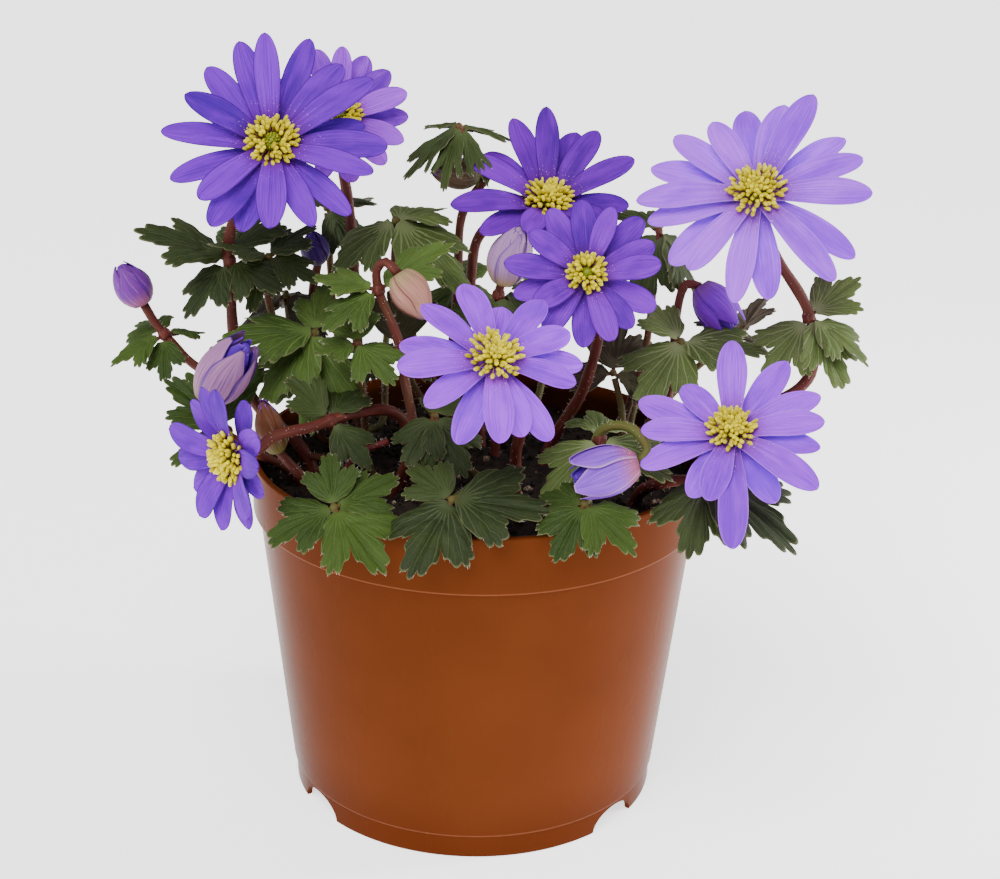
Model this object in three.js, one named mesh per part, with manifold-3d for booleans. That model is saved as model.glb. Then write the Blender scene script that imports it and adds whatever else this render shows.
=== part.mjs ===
// Potted Grecian windflower (Anemone blanda): a plastic nursery pot with its soil, three tubers with their
// stems, eight open blooms, nine buds and the cut leaves round and between them.
// Millimetres, +Z up. The origin is on the floor under the middle of the pot, and the front looks along -Y.

import * as THREE from "three";
import { mergeVertices } from "three/addons/utils/BufferGeometryUtils.js";
import Module from "manifold-3d";

const wasm = await Module();
wasm.setup();

// Pot
const RIM_DIAMETER = 110;
const POT_HEIGHT = 88;
const COLLAR_HEIGHT = 14;
const COLLAR_STEP = 1.4;
const WALL = 1.4;
const BASE_RADIUS = 46;
const FOOT_HEIGHT = 6;
const FOOT_INSET = 0.6;
const FLOOR_LEVEL = 5.2;
const ARCH_AZIMUTHS = [-58, 56, 179];
const ARCH_WIDTH = 18.5;
const ARCH_HEIGHT = 5;
const DRAIN_HOLES = 4;
const DRAIN_RADIUS = 4;
const DRAIN_CIRCLE = 28;
const POT_SIDES = 36;
const FOOT_SLOPE = 0.5;
const COLLAR_SLOPE = 0.4;
const STEP_SLOPE = 1;

// Soil: a plug with a rim that is rounded off, and rings of points on top that rise and fall in a wave
const SOIL_DROP = 8;
const SOIL_GAP = 0.4;
const SOIL_BEVEL = 1;
const SOIL_RINGS = [0.6];
const SOIL_WAVE = 0.45;
const SOIL_SIDES = 18;

// Clearance between pieces that touch, and the hole round a stem
const GAP = 0.3;
const STEM_CLEARANCE = 0.75;

// Thickness of petals and leaves in their middle
const BLADE = 0.9;

// Blooms
const HUB_RADIUS = 4;
const HUB_HEIGHT = 3.2;
const HUB_SIDES = 6;
const LAYERS = 3;
const LAYER_STEP = 1.05;
const PETAL_ROOT = 2;
const CUP_STEP = 3.5;
const PETAL_ARCH = 0.05;
const KEEL_START = 3;
// Along a petal: [share of its length, share of its width].
const PETAL_STATIONS = [[0, 0.35], [0.42, 0.95], [0.8, 0.9], [1, 0.34]];
const STAMEN_REACH = 5.4;
const STAMEN_FLATNESS = 0.7;
const STAMEN_RISE = 0.2;
const CORE_RADIUS = 2.2;
const STAMEN_SIDES = 12;

// Buds
const BUD_FULLNESS = 1.06;
const BUD_TAPER = 0.22;
const BUD_TWIST = 0.7;
const FLUTE_DEPTH = 0.07;
const BUD_FRONT = [0.3, -1, 0.2];

// Stems and tubers
const FLOWER_STEM_RADIUS = 1.35;
const BUD_STEM_RADIUS = 1.15;
const STALK_RADIUS = 0.9;
const STEM_SIDES = 4;
const NECK_LENGTH = 4;
const TUBER_SIZE = [13, 11, 5];
const TUBERS = {
  left: [-30, 0, 67],
  middle: [4, 10, 67],
  right: [36, -4, 67],
};
const SHOOT = { tuber: "left", path: [[-32, -17, 85], [-28, -17, 92], [-21, -16, 95]] };

// Leaves: a ring of leaflets on a flower stem has a collar round it, and a leaf on a stalk of its own a hub.
// The leaflets are sunk into either. A leaflet is given in shares of its length: three lobes spread from a
// point on its midrib, and a finger has narrow lobes close together.
const COLLAR_RADIUS = 3;
const COLLAR_DEPTH = 3.6;
const COLLAR_SINK = 1.95;
const KNOT_SIDES = 4;
const LEAF_HUB_RADIUS = 1.9;
const LEAF_HUB_HEIGHT = 2.2;
const LEAF_HUB_SINK = 1.1;
const BROAD_LOBES = { spread: 56, side: 0.88, shoulder: [0.72, 0.28], low: 0.24, cut: 0.45 };
const FINGER_LOBES = { spread: 30, side: 0.8, shoulder: [0.66, 0.13], low: 0.1, cut: 0.3 };
const LEAF_FOOT = 0.06;
const MIDRIB_POINT = 0.2;
const LEAF_LIFT = 0.1;
const LEAF_DROOP = 0.16;
const RIB_DEPTH = 0.02;
// Leaves look up, a little to the front, and away from the middle of the plant.
const LEAF_LEAN = { side: 0.004, depth: 0.006, front: -0.25 };

const COLOURS = {
  pot: "#8c4726",
  soil: "#2a201b",
  stem: "#6d3a30",
  stamens: "#e8cf3c",
  leaf: "#4b6534",
};

// Azimuth 0 looks from the plant to the front, 90 to the right.
// A bloom's tilt is how far its face looks up, and its cup how far the petals rise from flat.
// A petal is [angle anticlockwise from the right as the bloom is seen, length].
const BLOOMS = [
  {
    name: "bloom_high_left", tuber: "left", centre: [-48.3, -4, 162.3], azimuth: 9, tilt: 41, cup: 14,
    width: 7.4, colour: "#6a3ccf",
    stem: [[-42, 1, 84], [-55, 4, 97], [-59, 4, 110], [-60, 4, 125], [-60, 4.5, 138], [-55, 4, 151]],
    petals: [
      [28, 27.5], [48, 25], [69, 28], [93, 26], [106, 25.5], [128, 24], [152, 22.5], [176, 25.5], [203, 25.5],
      [225, 25.5], [238, 28], [250, 25], [267, 26], [288, 24.5], [311, 26], [331, 26], [353, 27], [10, 22],
    ],
  },
  {
    name: "bloom_behind_left", tuber: "left", centre: [-35, 18, 164], azimuth: 10, tilt: 34, cup: 14,
    width: 6.4, colour: "#8a66d8",
    stem: [[-29, 14, 86], [-31, 20, 110], [-33, 25, 140], [-35, 25, 152]],
    petals: [
      [16, 17.5], [40, 17], [62, 17.5], [84, 17], [108, 17.5], [132, 17], [156, 17.5], [180, 17], [204, 17.5],
      [228, 17], [252, 17.5], [276, 17], [306, 17.5], [336, 17], [357, 17],
    ],
  },
  {
    name: "bloom_back_middle", tuber: "middle", centre: [15.4, 15, 144.8], azimuth: 13, tilt: 55, cup: 20,
    width: 7.4, colour: "#6634c6",
    stem: [[0, 20, 84], [-4, 23, 100], [-3, 24, 119], [-1, 24, 134], [6, 22, 140]],
    petals: [
      [13, 23.5], [49, 23.5], [62, 22.5], [85, 24.5], [105, 23.5], [133, 20], [156, 23.5], [190, 27],
      [211, 23], [238, 18], [262, 17], [288, 17], [314, 18], [340, 20],
    ],
  },
  {
    name: "bloom_middle", tuber: "middle", centre: [24.4, -15, 136.3], azimuth: -2, tilt: 32, cup: 12,
    width: 6.4, colour: "#7a52d2",
    stem: [[18, 8, 86], [25, 2, 102], [28, -5, 120], [26, -10, 130]],
    petals: [
      [5, 17.3], [25, 17], [49, 18.5], [71, 16.5], [95, 17.5], [122, 18], [147, 16.5], [175, 19.5],
      [198, 17.5], [216, 15], [237, 17.5], [269, 17.3], [290, 18], [310, 16.5], [335, 17.5],
    ],
  },
  {
    name: "bloom_front_middle", tuber: "middle", centre: [3.4, -46, 125.9], azimuth: 18, tilt: 52, cup: -4,
    width: 7.2, colour: "#8a68dc",
    stem: [[9, -20, 84], [9, -27, 97], [10, -32, 108], [6, -38, 117]],
    petals: [
      [14, 19.5], [44, 23], [68, 17], [94, 20.7], [127, 20.7], [155, 20.6], [181, 21.5], [207, 19],
      [238, 20.5], [260, 21], [280, 18.5], [296, 21], [335, 18.5], [355, 20.8],
    ],
  },
  {
    name: "bloom_high_right", tuber: "right", centre: [62.8, -8, 154], azimuth: -12, tilt: 46, cup: -3,
    width: 7.8, colour: "#9478e0",
    stem: [[44, -4, 84], [54, -4, 93.5], [68, -5, 101], [78, -6, 109], [79, -6, 119], [76, -6.5, 128],
      [68, -6, 140]],
    petals: [
      [4, 26], [30, 26.5], [48, 27.5], [70, 29], [84, 26.5], [102, 26.5], [125, 22], [146, 25.8], [163, 27.5],
      [187, 27.5], [200, 25.5], [222, 25], [239, 24.5], [264, 27], [283, 25.5], [312, 28.5], [331, 27],
    ],
  },
  {
    name: "bloom_front_right", tuber: "right", centre: [56.1, -44, 109.3], azimuth: -8, tilt: 52, cup: 8,
    width: 7.4, colour: "#8f74dd",
    stem: [[38, -18, 83], [44, -30, 92], [51, -38, 96.5], [55, -40.5, 101]],
    petals: [
      [8, 20.5], [30, 21.6], [59, 22.8], [93, 21.7], [137, 16], [164, 22], [190, 20], [210, 22], [244, 18],
      [259, 20], [276, 31], [303, 19.5], [322, 24.5], [350, 20],
    ],
  },
  {
    name: "bloom_front_left", tuber: "left", centre: [-53.3, -42, 101.3], azimuth: -45, tilt: 3, cup: 16,
    width: 7.2, colour: "#7140cc",
    stem: [[-17, -9, 84], [-17, -11, 97], [-21, -14, 102], [-30, -20, 103], [-38, -27, 102.5],
      [-46, -35, 103]],
    petals: [
      [10, 15.5], [34, 17], [62, 17], [88, 17.5], [118, 17], [148, 17], [172, 17.5], [196, 17.5], [222, 17],
      [247, 17], [270, 17.5], [296, 17], [321, 17], [345, 15.5],
    ],
  },
];

// A bud's axis runs from base to tip. Flutes are the folds between the petals that still wrap it.
const BUDS = [
  {
    name: "bud_left", tuber: "left", base: [-82, 8, 120.5], tip: [-87, 7, 130.5], width: 8.2, flutes: 3,
    colour: "#8d63b8", stem: [[-44, 5, 84], [-58, 6, 98], [-70, 5, 106], [-74, 6.5, 109.5], [-79, 8, 115]],
  },
  {
    name: "bud_half_open_left", tuber: "left", base: [-63, -20, 107], tip: [-52, -23, 121.5], width: 11.5,
    flutes: 5, colour: "#b48fc0", stem: [[-44, -9, 83], [-54, -15, 92], [-62, -18, 100]],
  },
  {
    name: "bud_nodding_middle", tuber: "left", base: [-18.5, -15, 135.5], tip: [-11.5, -18.5, 126],
    width: 8.2, flutes: 4, colour: "#b98f82",
    stem: [[-19, -13, 83], [-15, -17, 96], [-17, -15, 109], [-19, -14, 120], [-23.5, -12, 131],
      [-23.8, -12.3, 136], [-21.8, -13.3, 138.2]],
  },
  {
    name: "bud_back_middle", tuber: "middle", base: [-2, 18.5, 151], tip: [-12.5, 13, 153], width: 6.8,
    flutes: 3, colour: "#7d7158",
    stem: [[-5, 18, 84], [-7, 20, 104], [-6, 20, 123], [-5, 20, 141], [-1, 19, 148], [1, 19, 150.5]],
  },
  {
    name: "bud_large_middle", tuber: "middle", base: [5, 4, 129.5], tip: [9.5, -1, 144], width: 9.6,
    flutes: 4, colour: "#c9a6b0", stem: [[4, 12, 86], [2, 10, 104], [3, 7, 118]],
  },
  {
    name: "bud_half_open_front", tuber: "right", base: [35, -50, 104.5], tip: [20.5, -52, 101], width: 10.5,
    flutes: 5, colour: "#8f6cd2", stem: [[26, -26, 84], [26, -37, 98], [28, -40, 108.5], [34, -44, 110.5],
      [37.5, -48.5, 107]],
  },
  {
    name: "bud_dark_left", tuber: "left", base: [-40.5, 21, 128], tip: [-42, 18, 136], width: 6.4, flutes: 3,
    colour: "#4a3b86", stem: [[-35, 10, 86], [-42, 18, 108], [-42, 21, 120]],
  },
  {
    name: "bud_nodding_right", tuber: "right", base: [53, 8, 127], tip: [61, 3, 118], width: 9.4, flutes: 5,
    colour: "#8a66d8", stem: [[43, 3, 85], [47, 7, 104], [47.5, 9, 120], [49.5, 9, 127.5]],
  },
  {
    name: "bud_low_left", tuber: "left", base: [-46, -27, 97], tip: [-49, -30, 110], width: 6.2, flutes: 3,
    colour: "#8a5a3a", stem: [[-33, -20, 83], [-40, -25, 89]],
  },
];

// A leaf's leaflets spread from its centre to their tips. The stalk ends in the centre, and a leaf with no
// stalk sits as a ring on the flower stem there. Broad is a leaflet's width over its length.
const LEAVES = [
  { name: "leaf_high_left", ring: true, centre: [-60, 4.2, 132.5], broad: 1.05,
    tips: [[-80, 1.5, 143], [-70, -7, 123], [-54.5, 19.5, 144.5], [-46.5, -6, 129.5]] },
  { name: "leaf_star_left", tuber: "left", centre: [-51, 6, 133], broad: 0.97,
    stalk: [[-38, 6, 86], [-48, 10, 108], [-52, 9, 124]],
    tips: [[-63.5, 0.5, 139.5], [-41, 12.5, 141], [-37.5, 1.5, 129.5], [-55.5, -4, 123]] },
  { name: "leaf_dark_left", tuber: "left", centre: [-48, 15, 121], broad: 0.95,
    stalk: [[-37, 14, 86], [-46, 17, 104]],
    tips: [[-37, 12, 111], [-62, 14.5, 112.5], [-48, 29, 114]] },
  { name: "leaf_mid_left", tuber: "left", centre: [-39, -5, 118], broad: 1,
    stalk: [[-32, -4, 86], [-35, -2, 104]],
    tips: [[-61, -11.5, 121], [-51.5, -18.5, 106], [-39.5, -21, 99], [-38, 6, 128]] },
  { name: "leaf_star_middle", tuber: "left", centre: [-28, -17, 119.5], broad: 1.08,
    stalk: [[-25, -12, 85], [-27, -13, 104]],
    tips: [[-37.5, -22, 119.5], [-19, -26.5, 114.5], [-31, -6.5, 127]] },
  { name: "leaf_nodding_bud", ring: true, centre: [-24, -12, 131], broad: 0.8,
    tips: [[-38.5, -12, 135.5], [-36, -23.5, 126], [-8, -6, 142.5]] },
  { name: "leaf_top_middle", tuber: "middle", centre: [-21, 12, 141], broad: 1.05,
    stalk: [[-5, 14, 86], [-16, 17, 108], [-21, 15, 126]],
    tips: [[-37.5, 5, 131], [-1, 3, 128], [-10, 25.5, 143]] },
  { name: "leaf_behind_left", tuber: "left", centre: [-39, 30, 139], broad: 0.97,
    stalk: [[-31, 19, 86], [-37, 27, 110]],
    tips: [[-30, 24.5, 126.5], [-48, 35.5, 144.5], [-29, 43.5, 140]] },
  { name: "leaf_arching_back", tuber: "middle", centre: [-6, 17, 163], broad: 0.45, finger: true,
    stalk: [[-1, 19, 148], [-2, 19, 156]], branch: true,
    tips: [[-20, 8, 154], [-10, 4, 152], [2, 8, 152], [7, 25, 160], [-15, 28, 162]] },
  { name: "leaf_back_middle", tuber: "middle", centre: [-4, 30, 120], broad: 1.03,
    stalk: [[-3, 24, 90], [-6, 30, 106]],
    tips: [[-20, 25, 111], [10, 33, 110.5], [-8.5, 46.5, 124.5]] },
  { name: "leaf_large_bud", ring: true, centre: [4, 5, 125], broad: 1,
    tips: [[-7, -3, 118.5], [16.5, 8.5, 120.5], [8.5, -8.5, 115]] },
  { name: "leaf_behind_right", tuber: "right", centre: [43, 18, 138], broad: 1,
    stalk: [[36, 8, 86], [41, 17, 108]],
    tips: [[37.5, 9, 121], [55.5, 16, 123.5], [35, 31.5, 142.5]] },
  { name: "leaf_broad_right", tuber: "right", centre: [48, -2, 116.5], broad: 1.08,
    stalk: [[38, -4, 85], [44, -1, 102]],
    tips: [[39, 4.5, 126], [67, -10, 119.5], [38, -16.5, 107]] },
  { name: "leaf_back_right", tuber: "right", centre: [64, 18, 112], broad: 1,
    stalk: [[40, 6, 86], [51, 15, 101]],
    tips: [[68.5, 14.5, 124.5], [75, 24.5, 105.5], [57.5, 32.5, 113]] },
  { name: "leaf_high_right", ring: true, centre: [77.5, -6, 125], broad: 1.05,
    tips: [[67, -13, 112], [86, -19, 113], [89, -1, 134], [91.5, -14, 118]] },
  { name: "leaf_front_right", ring: true, centre: [51.5, -38.2, 97], broad: 1,
    tips: [[47.5, -57, 87], [72, -51.5, 88], [61, -24.5, 96]] },
  { name: "leaf_half_open_front", ring: true, centre: [27.6, -39.6, 106], broad: 0.97,
    tips: [[14.5, -47, 95], [43.5, -47, 101.5], [27, -23, 108]] },
  { name: "leaf_rim_right", tuber: "right", centre: [24, -54, 96.5], broad: 1.05,
    stalk: [[26, -32, 84], [25, -43, 94]],
    tips: [[17.5, -65, 88], [35, -64, 90.5], [14, -48.5, 97]] },
  { name: "leaf_rim_middle", tuber: "middle", centre: [-5, -50, 95], broad: 1.08,
    stalk: [[2, -24, 84], [-2, -38, 92]],
    tips: [[-15, -42, 101], [-14, -66, 85], [16, -56, 97]] },
  { name: "leaf_rim_left", tuber: "left", centre: [-31, -50, 92.5], broad: 1.05,
    stalk: [[-27, -20, 84], [-28, -37, 92.5]],
    tips: [[-33, -42, 103], [-17, -44, 99], [-19, -64, 85], [-46, -55, 87.5]] },
  { name: "leaf_front_left", ring: true, centre: [-34, -23.5, 102.8], broad: 0.97,
    tips: [[-24, -31, 95], [-43.5, -21, 113], [-28, -12, 109.5]] },
  { name: "leaf_under_bloom", tuber: "middle", centre: [-10, -22, 104], broad: 1.08,
    stalk: [[-2, -8, 85], [-8, -16, 97]],
    tips: [[-2, -32, 94], [-16.5, -32, 96], [-4.5, -8.5, 106]] },
  { name: "leaf_bud_left", ring: true, centre: [-76.8, 7.3, 112.6], broad: 0.97,
    tips: [[-89.5, 1, 108], [-76, -2, 104], [-68, 14, 112], [-86, 20, 113]] },
  { name: "leaf_half_open_left", ring: true, centre: [-59.2, -16.9, 97.2], broad: 1,
    tips: [[-72.5, -13.5, 109.5], [-62.5, -4.5, 116], [-71.5, -25, 93.5]] },
  { name: "leaf_back_low", tuber: "left", centre: [-24, 48, 108], broad: 1.03,
    stalk: [[-25, 22, 85], [-25, 38, 100]],
    tips: [[-40, 54, 103], [-22, 71.5, 97], [-8, 54, 106]] },
  { name: "leaf_back_high", tuber: "middle", centre: [20, 46, 118], broad: 1.03,
    stalk: [[12, 24, 86], [18, 40, 106]],
    tips: [[6, 54, 114], [24, 68, 108], [35, 48, 118]] },
  { name: "leaf_back_rim", tuber: "right", centre: [44, 44, 100], broad: 0.97,
    stalk: [[38, 14, 85], [42, 33, 96]],
    tips: [[32, 55, 96], [55, 57, 92], [59, 38, 101]] },
  { name: "leaf_low_left", tuber: "left", centre: [-41, 9, 104], broad: 1.03,
    stalk: [[-35, 5, 86], [-39, 7, 96]],
    tips: [[-58, 6, 103], [-24, 14, 103]] },
  { name: "leaf_low_middle", tuber: "middle", centre: [-20, 10, 110], broad: 1.08,
    stalk: [[-7, 10, 86], [-16, 10, 99]],
    tips: [[-36, 7, 105], [-20, 17, 126], [-4, 5, 106]] },
  { name: "leaf_low_right", tuber: "right", centre: [33, 13, 103], broad: 1.03,
    stalk: [[37, 6, 86], [35, 10, 96]],
    tips: [[17, 12, 103], [47, 10, 98], [34, 24, 116]] },
];

const radians = THREE.MathUtils.degToRad;
const vector = (point) => new THREE.Vector3(...point);
const up = new THREE.Vector3(0, 0, 1);

// A repeatable draw from 0 to 1.
function draw(seed, index) {
  const value = Math.sin(seed * 12.9898 + index * 78.233) * 43758.5453;
  return value - Math.floor(value);
}

function facing(azimuth, tilt) {
  const a = radians(azimuth);
  const t = radians(tilt);
  return new THREE.Vector3(Math.sin(a) * Math.cos(t), -Math.cos(a) * Math.cos(t), Math.sin(t));
}

function solid(geometry) {
  const bare = new THREE.BufferGeometry();
  bare.setAttribute("position", geometry.getAttribute("position"));
  bare.setIndex(geometry.index);
  const merged = mergeVertices(bare, 1e-4);
  return new wasm.Manifold(new wasm.Mesh({
    numProp: 3,
    vertProperties: new Float32Array(merged.getAttribute("position").array),
    triVerts: new Uint32Array(merged.index.array),
  }));
}

function join(solids) {
  return solids.reduce((whole, piece) => whole.add(piece));
}

// A piece that was cut back can be left with loose crumbs, so only its largest body is kept.
function largest(body) {
  const bodies = body.decompose();
  return bodies.reduce((best, next) => (next.volume() > best.volume() ? next : best));
}

function moved(geometry, change) {
  const position = geometry.getAttribute("position");
  const point = new THREE.Vector3();
  for (let i = 0; i < position.count; i += 1) {
    change(point.fromBufferAttribute(position, i));
    position.setXYZ(i, point.x, point.y, point.z);
  }
  return geometry;
}

// A lengthwise frame: Y along the piece, Z out of its face.
function along(root, tip, face) {
  const y = tip.clone().sub(root).normalize();
  const x = y.clone().cross(face).normalize();
  const z = x.clone().cross(y);
  return new THREE.Matrix4().makeBasis(x, y, z).setPosition(root);
}

// In all that follows, grow is by how much a body is fattened, to find the room that it needs.
function pot(grow) {
  const rim = RIM_DIAMETER / 2 + grow;
  const shoulder = rim - COLLAR_STEP;
  const collarBottom = POT_HEIGHT - COLLAR_HEIGHT;
  const foot = BASE_RADIUS - FOOT_INSET;
  const floorTop = FLOOR_LEVEL + WALL;
  const profile = [
    [0, FLOOR_LEVEL],
    [foot - WALL, FLOOR_LEVEL],
    [foot - WALL, 0],
    [foot, 0],
    [foot, FOOT_HEIGHT],
    [BASE_RADIUS, FOOT_HEIGHT + FOOT_SLOPE],
    [shoulder, collarBottom],
    [rim, collarBottom + COLLAR_SLOPE],
    [rim, POT_HEIGHT + grow],
    [rim - WALL - 2 * grow, POT_HEIGHT + grow],
    [rim - WALL - 2 * grow, collarBottom + STEP_SLOPE],
    [shoulder - WALL, collarBottom - STEP_SLOPE],
    [BASE_RADIUS - WALL, floorTop],
    [0, floorTop],
  ].map(([r, z]) => new THREE.Vector2(r, z));
  let body = solid(new THREE.LatheGeometry(profile, POT_SIDES).rotateX(Math.PI / 2));
  const arch = new THREE.Shape();
  arch.absellipse(0, 0, ARCH_WIDTH / 2, ARCH_HEIGHT, 0, Math.PI);
  arch.lineTo(-ARCH_WIDTH / 2, -1);
  arch.lineTo(ARCH_WIDTH / 2, -1);
  for (const azimuth of ARCH_AZIMUTHS) {
    const cutter = new THREE.ExtrudeGeometry(arch, { depth: 20, bevelEnabled: false, curveSegments: 5 });
    cutter.rotateX(Math.PI / 2).translate(0, -BASE_RADIUS + 15, 0).rotateZ(radians(azimuth));
    body = body.subtract(solid(cutter));
  }
  for (let i = 0; i < DRAIN_HOLES; i += 1) {
    const cutter = new THREE.CylinderGeometry(DRAIN_RADIUS, DRAIN_RADIUS, 10, 8).rotateX(Math.PI / 2);
    cutter.translate(0, DRAIN_CIRCLE, FLOOR_LEVEL).rotateZ(radians(45 + (360 * i) / DRAIN_HOLES));
    body = body.subtract(solid(cutter));
  }
  return body;
}

function soil() {
  const top = POT_HEIGHT - SOIL_DROP;
  const bottom = FLOOR_LEVEL + WALL + GAP;
  const wide = RIM_DIAMETER / 2 - WALL - SOIL_GAP;
  const collarBottom = POT_HEIGHT - COLLAR_HEIGHT;
  const profile = [
    [0, bottom],
    [BASE_RADIUS - WALL - SOIL_GAP, bottom],
    [wide - COLLAR_STEP, collarBottom - STEP_SLOPE],
    [wide, collarBottom + STEP_SLOPE + GAP],
    [wide, top - SOIL_BEVEL],
    ...SOIL_RINGS.map((share) => [share * wide, top]),
    [0, top],
  ].map(([r, z]) => new THREE.Vector2(r, z));
  const geometry = new THREE.LatheGeometry(profile, SOIL_SIDES).rotateX(Math.PI / 2);
  moved(geometry, (point) => {
    const across = Math.sin(point.x * 0.37 + 1) * Math.cos(point.y * 0.31);
    const aslant = Math.sin(point.x * 0.9 - point.y * 0.7);
    if (Math.abs(point.z - top) < 0.01) point.z += SOIL_WAVE * (across + aslant);
  });
  return Object.keys(TUBERS).reduce((plug, tuber) => plug.subtract(plantingHoles(tuber)), solid(geometry));
}

// A smooth route whose steps fall on its own points.
class Route extends THREE.CatmullRomCurve3 {
  getPointAt(u, target) {
    return this.getPoint(u, target);
  }

  getTangentAt(u, target) {
    return this.getTangent(u, target);
  }
}

function tube(points, radius, grow) {
  const path = new Route(points, false, "centripetal");
  const r = (radius + grow) / Math.cos(Math.PI / STEM_SIDES / 2);
  const section = new THREE.Shape();
  for (let i = 0; i < STEM_SIDES; i += 1) {
    const turn = (2 * Math.PI * i) / STEM_SIDES;
    const corner = [r * Math.cos(turn), r * Math.sin(turn)];
    if (i === 0) section.moveTo(...corner);
    else section.lineTo(...corner);
  }
  const steps = points.length - 1;
  const geometry = new THREE.ExtrudeGeometry(section, { steps, extrudePath: path, bevelEnabled: false });
  const end = points[points.length - 1];
  const past = path.getTangent(1).multiplyScalar(grow);
  moved(geometry, (point) => {
    if (point.distanceTo(end) < r + 0.01) point.add(past);
  });
  return solid(geometry);
}

function ofTuber(pieces, tuber) {
  return pieces.filter((piece) => piece.tuber === tuber);
}

// A stem leaves the tuber below the place where it comes out of the soil.
function rootOf(tuber, exit) {
  const start = vector(TUBERS[tuber]);
  const out = vector(exit).setZ(start.z).sub(start);
  return start.add(out.multiplyScalar(Math.min(0.8, 9 / out.length())));
}

// The flower stems and the young shoot of a tuber, as [points, radius].
function stemsOf(tuber) {
  const stems = [];
  for (const bloom of ofTuber(BLOOMS, tuber)) {
    const face = facing(bloom.azimuth, bloom.tilt);
    const neck = vector(bloom.centre).addScaledVector(face, -HUB_HEIGHT / 2 - GAP);
    const below = neck.clone().addScaledVector(face, -NECK_LENGTH);
    const points = [rootOf(tuber, bloom.stem[0]), ...bloom.stem.map(vector), below, neck];
    stems.push([points, FLOWER_STEM_RADIUS]);
  }
  for (const bud of ofTuber(BUDS, tuber)) {
    const axis = vector(bud.tip).sub(vector(bud.base)).normalize();
    const neck = vector(bud.base).addScaledVector(axis, -GAP);
    stems.push([[rootOf(tuber, bud.stem[0]), ...bud.stem.map(vector), neck], BUD_STEM_RADIUS]);
  }
  for (const shoot of ofTuber([SHOOT], tuber)) {
    stems.push([[rootOf(tuber, shoot.path[0]), ...shoot.path.map(vector)], STALK_RADIUS]);
  }
  return stems;
}

// A leaf stalk springs from the foot of the nearest flower stem, or branches off higher up.
function stalksOf(tuber) {
  const feet = stemsOf(tuber).map(([points]) => points[1]);
  return ofTuber(LEAVES, tuber).map((leaf) => {
    const last = vector(leaf.stalk.at(-1));
    const end = vector(leaf.centre);
    end.addScaledVector(end.clone().sub(last).normalize(), -LEAF_HUB_HEIGHT / 2 - GAP);
    const points = [...leaf.stalk.map(vector), end];
    if (leaf.branch) return [points, STALK_RADIUS];
    const away = feet.map((foot) => foot.distanceTo(points[0]));
    return [[feet[away.indexOf(Math.min(...away))], ...points], STALK_RADIUS];
  });
}

function tuberBody(tuber, grow) {
  const [sx, sy, sz] = TUBER_SIZE.map((size) => size + grow);
  const lump = new THREE.SphereGeometry(1, 6, 3).rotateX(Math.PI / 2).scale(sx, sy, sz);
  return solid(lump.translate(...TUBERS[tuber]));
}

function tuberWithStems(tuber, grow) {
  const stems = [...stemsOf(tuber), ...stalksOf(tuber)].map(([points, radius]) => tube(points, radius, grow));
  return join([tuberBody(tuber, grow), ...stems]);
}

// The room that a tuber and its stems take in the soil: a hollow and one plain hole for each stem.
function plantingHoles(tuber) {
  const holes = stemsOf(tuber).map(([points, radius]) => {
    const [root, exit] = points;
    const beyond = exit.clone().add(exit).sub(root);
    const length = root.distanceTo(beyond);
    const wide = radius + STEM_CLEARANCE;
    const hole = new THREE.CylinderGeometry(wide, wide, length, STEM_SIDES);
    hole.rotateX(Math.PI / 2).translate(0, 0, length / 2);
    hole.applyQuaternion(new THREE.Quaternion().setFromUnitVectors(up, beyond.sub(root).normalize()));
    return solid(hole.translate(root.x, root.y, root.z));
  });
  return join([tuberBody(tuber, GAP), ...holes]);
}

// A petal along +Y: a thin blade with a flat face and a keel below, widest past its middle. The keel runs to
// the third of its stations.
function petal(length, width, cup, grow) {
  const rise = radians(cup);
  const across = width / 2 + 4 * grow;
  const bend = (x, s, side) => {
    const y = (length + 2 * grow) * s;
    const arch = PETAL_ARCH * length * Math.sin(Math.PI * s);
    const z = (side * BLADE) / 2 + (side > 0 ? grow : -3 * grow) + arch;
    return [x, y * Math.cos(rise) - z * Math.sin(rise), y * Math.sin(rise) + z * Math.cos(rise)];
  };
  const edge = PETAL_STATIONS.flatMap(([s, w]) => [bend(-w * across, s, 1), bend(w * across, s, 1)]);
  const keel = [bend(0, KEEL_START / length, -1), bend(0, PETAL_STATIONS[2][0], -1)];
  const geometry = new THREE.BufferGeometry();
  geometry.setAttribute("position", new THREE.Float32BufferAttribute([...edge, ...keel].flat(), 3));
  geometry.setIndex([
    0, 1, 3, 0, 3, 2, 2, 3, 5, 2, 5, 4, 4, 5, 7, 4, 7, 6,
    8, 1, 0, 8, 3, 1, 8, 0, 2, 9, 5, 3, 9, 3, 8, 9, 8, 2, 9, 2, 4, 9, 7, 5, 9, 6, 7, 9, 4, 6,
  ]);
  return geometry;
}

function bloomFrame(bloom) {
  const z = facing(bloom.azimuth, bloom.tilt);
  const x = up.clone().cross(z).normalize();
  const y = z.clone().cross(x);
  return new THREE.Matrix4().makeBasis(x, y, z).setPosition(vector(bloom.centre));
}

function bloomPetals(bloom, grow) {
  const radius = HUB_RADIUS + grow;
  const hub = new THREE.CylinderGeometry(radius, radius, HUB_HEIGHT + 2 * grow, HUB_SIDES);
  const blades = bloom.petals.map(([angle, length], i) => {
    const layer = (LAYERS - 1) / 2 - (i % LAYERS);
    const cup = bloom.cup + CUP_STEP * layer;
    const width = bloom.width * (0.92 + 0.16 * draw(bloom.centre[1], i));
    const blade = petal(length - PETAL_ROOT, width, cup, grow);
    blade.translate(0, PETAL_ROOT, LAYER_STEP * layer).rotateZ(radians(angle - 90));
    return solid(blade.applyMatrix4(bloomFrame(bloom)));
  });
  return join([solid(hub.rotateX(Math.PI / 2).applyMatrix4(bloomFrame(bloom))), ...blades]);
}

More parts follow.
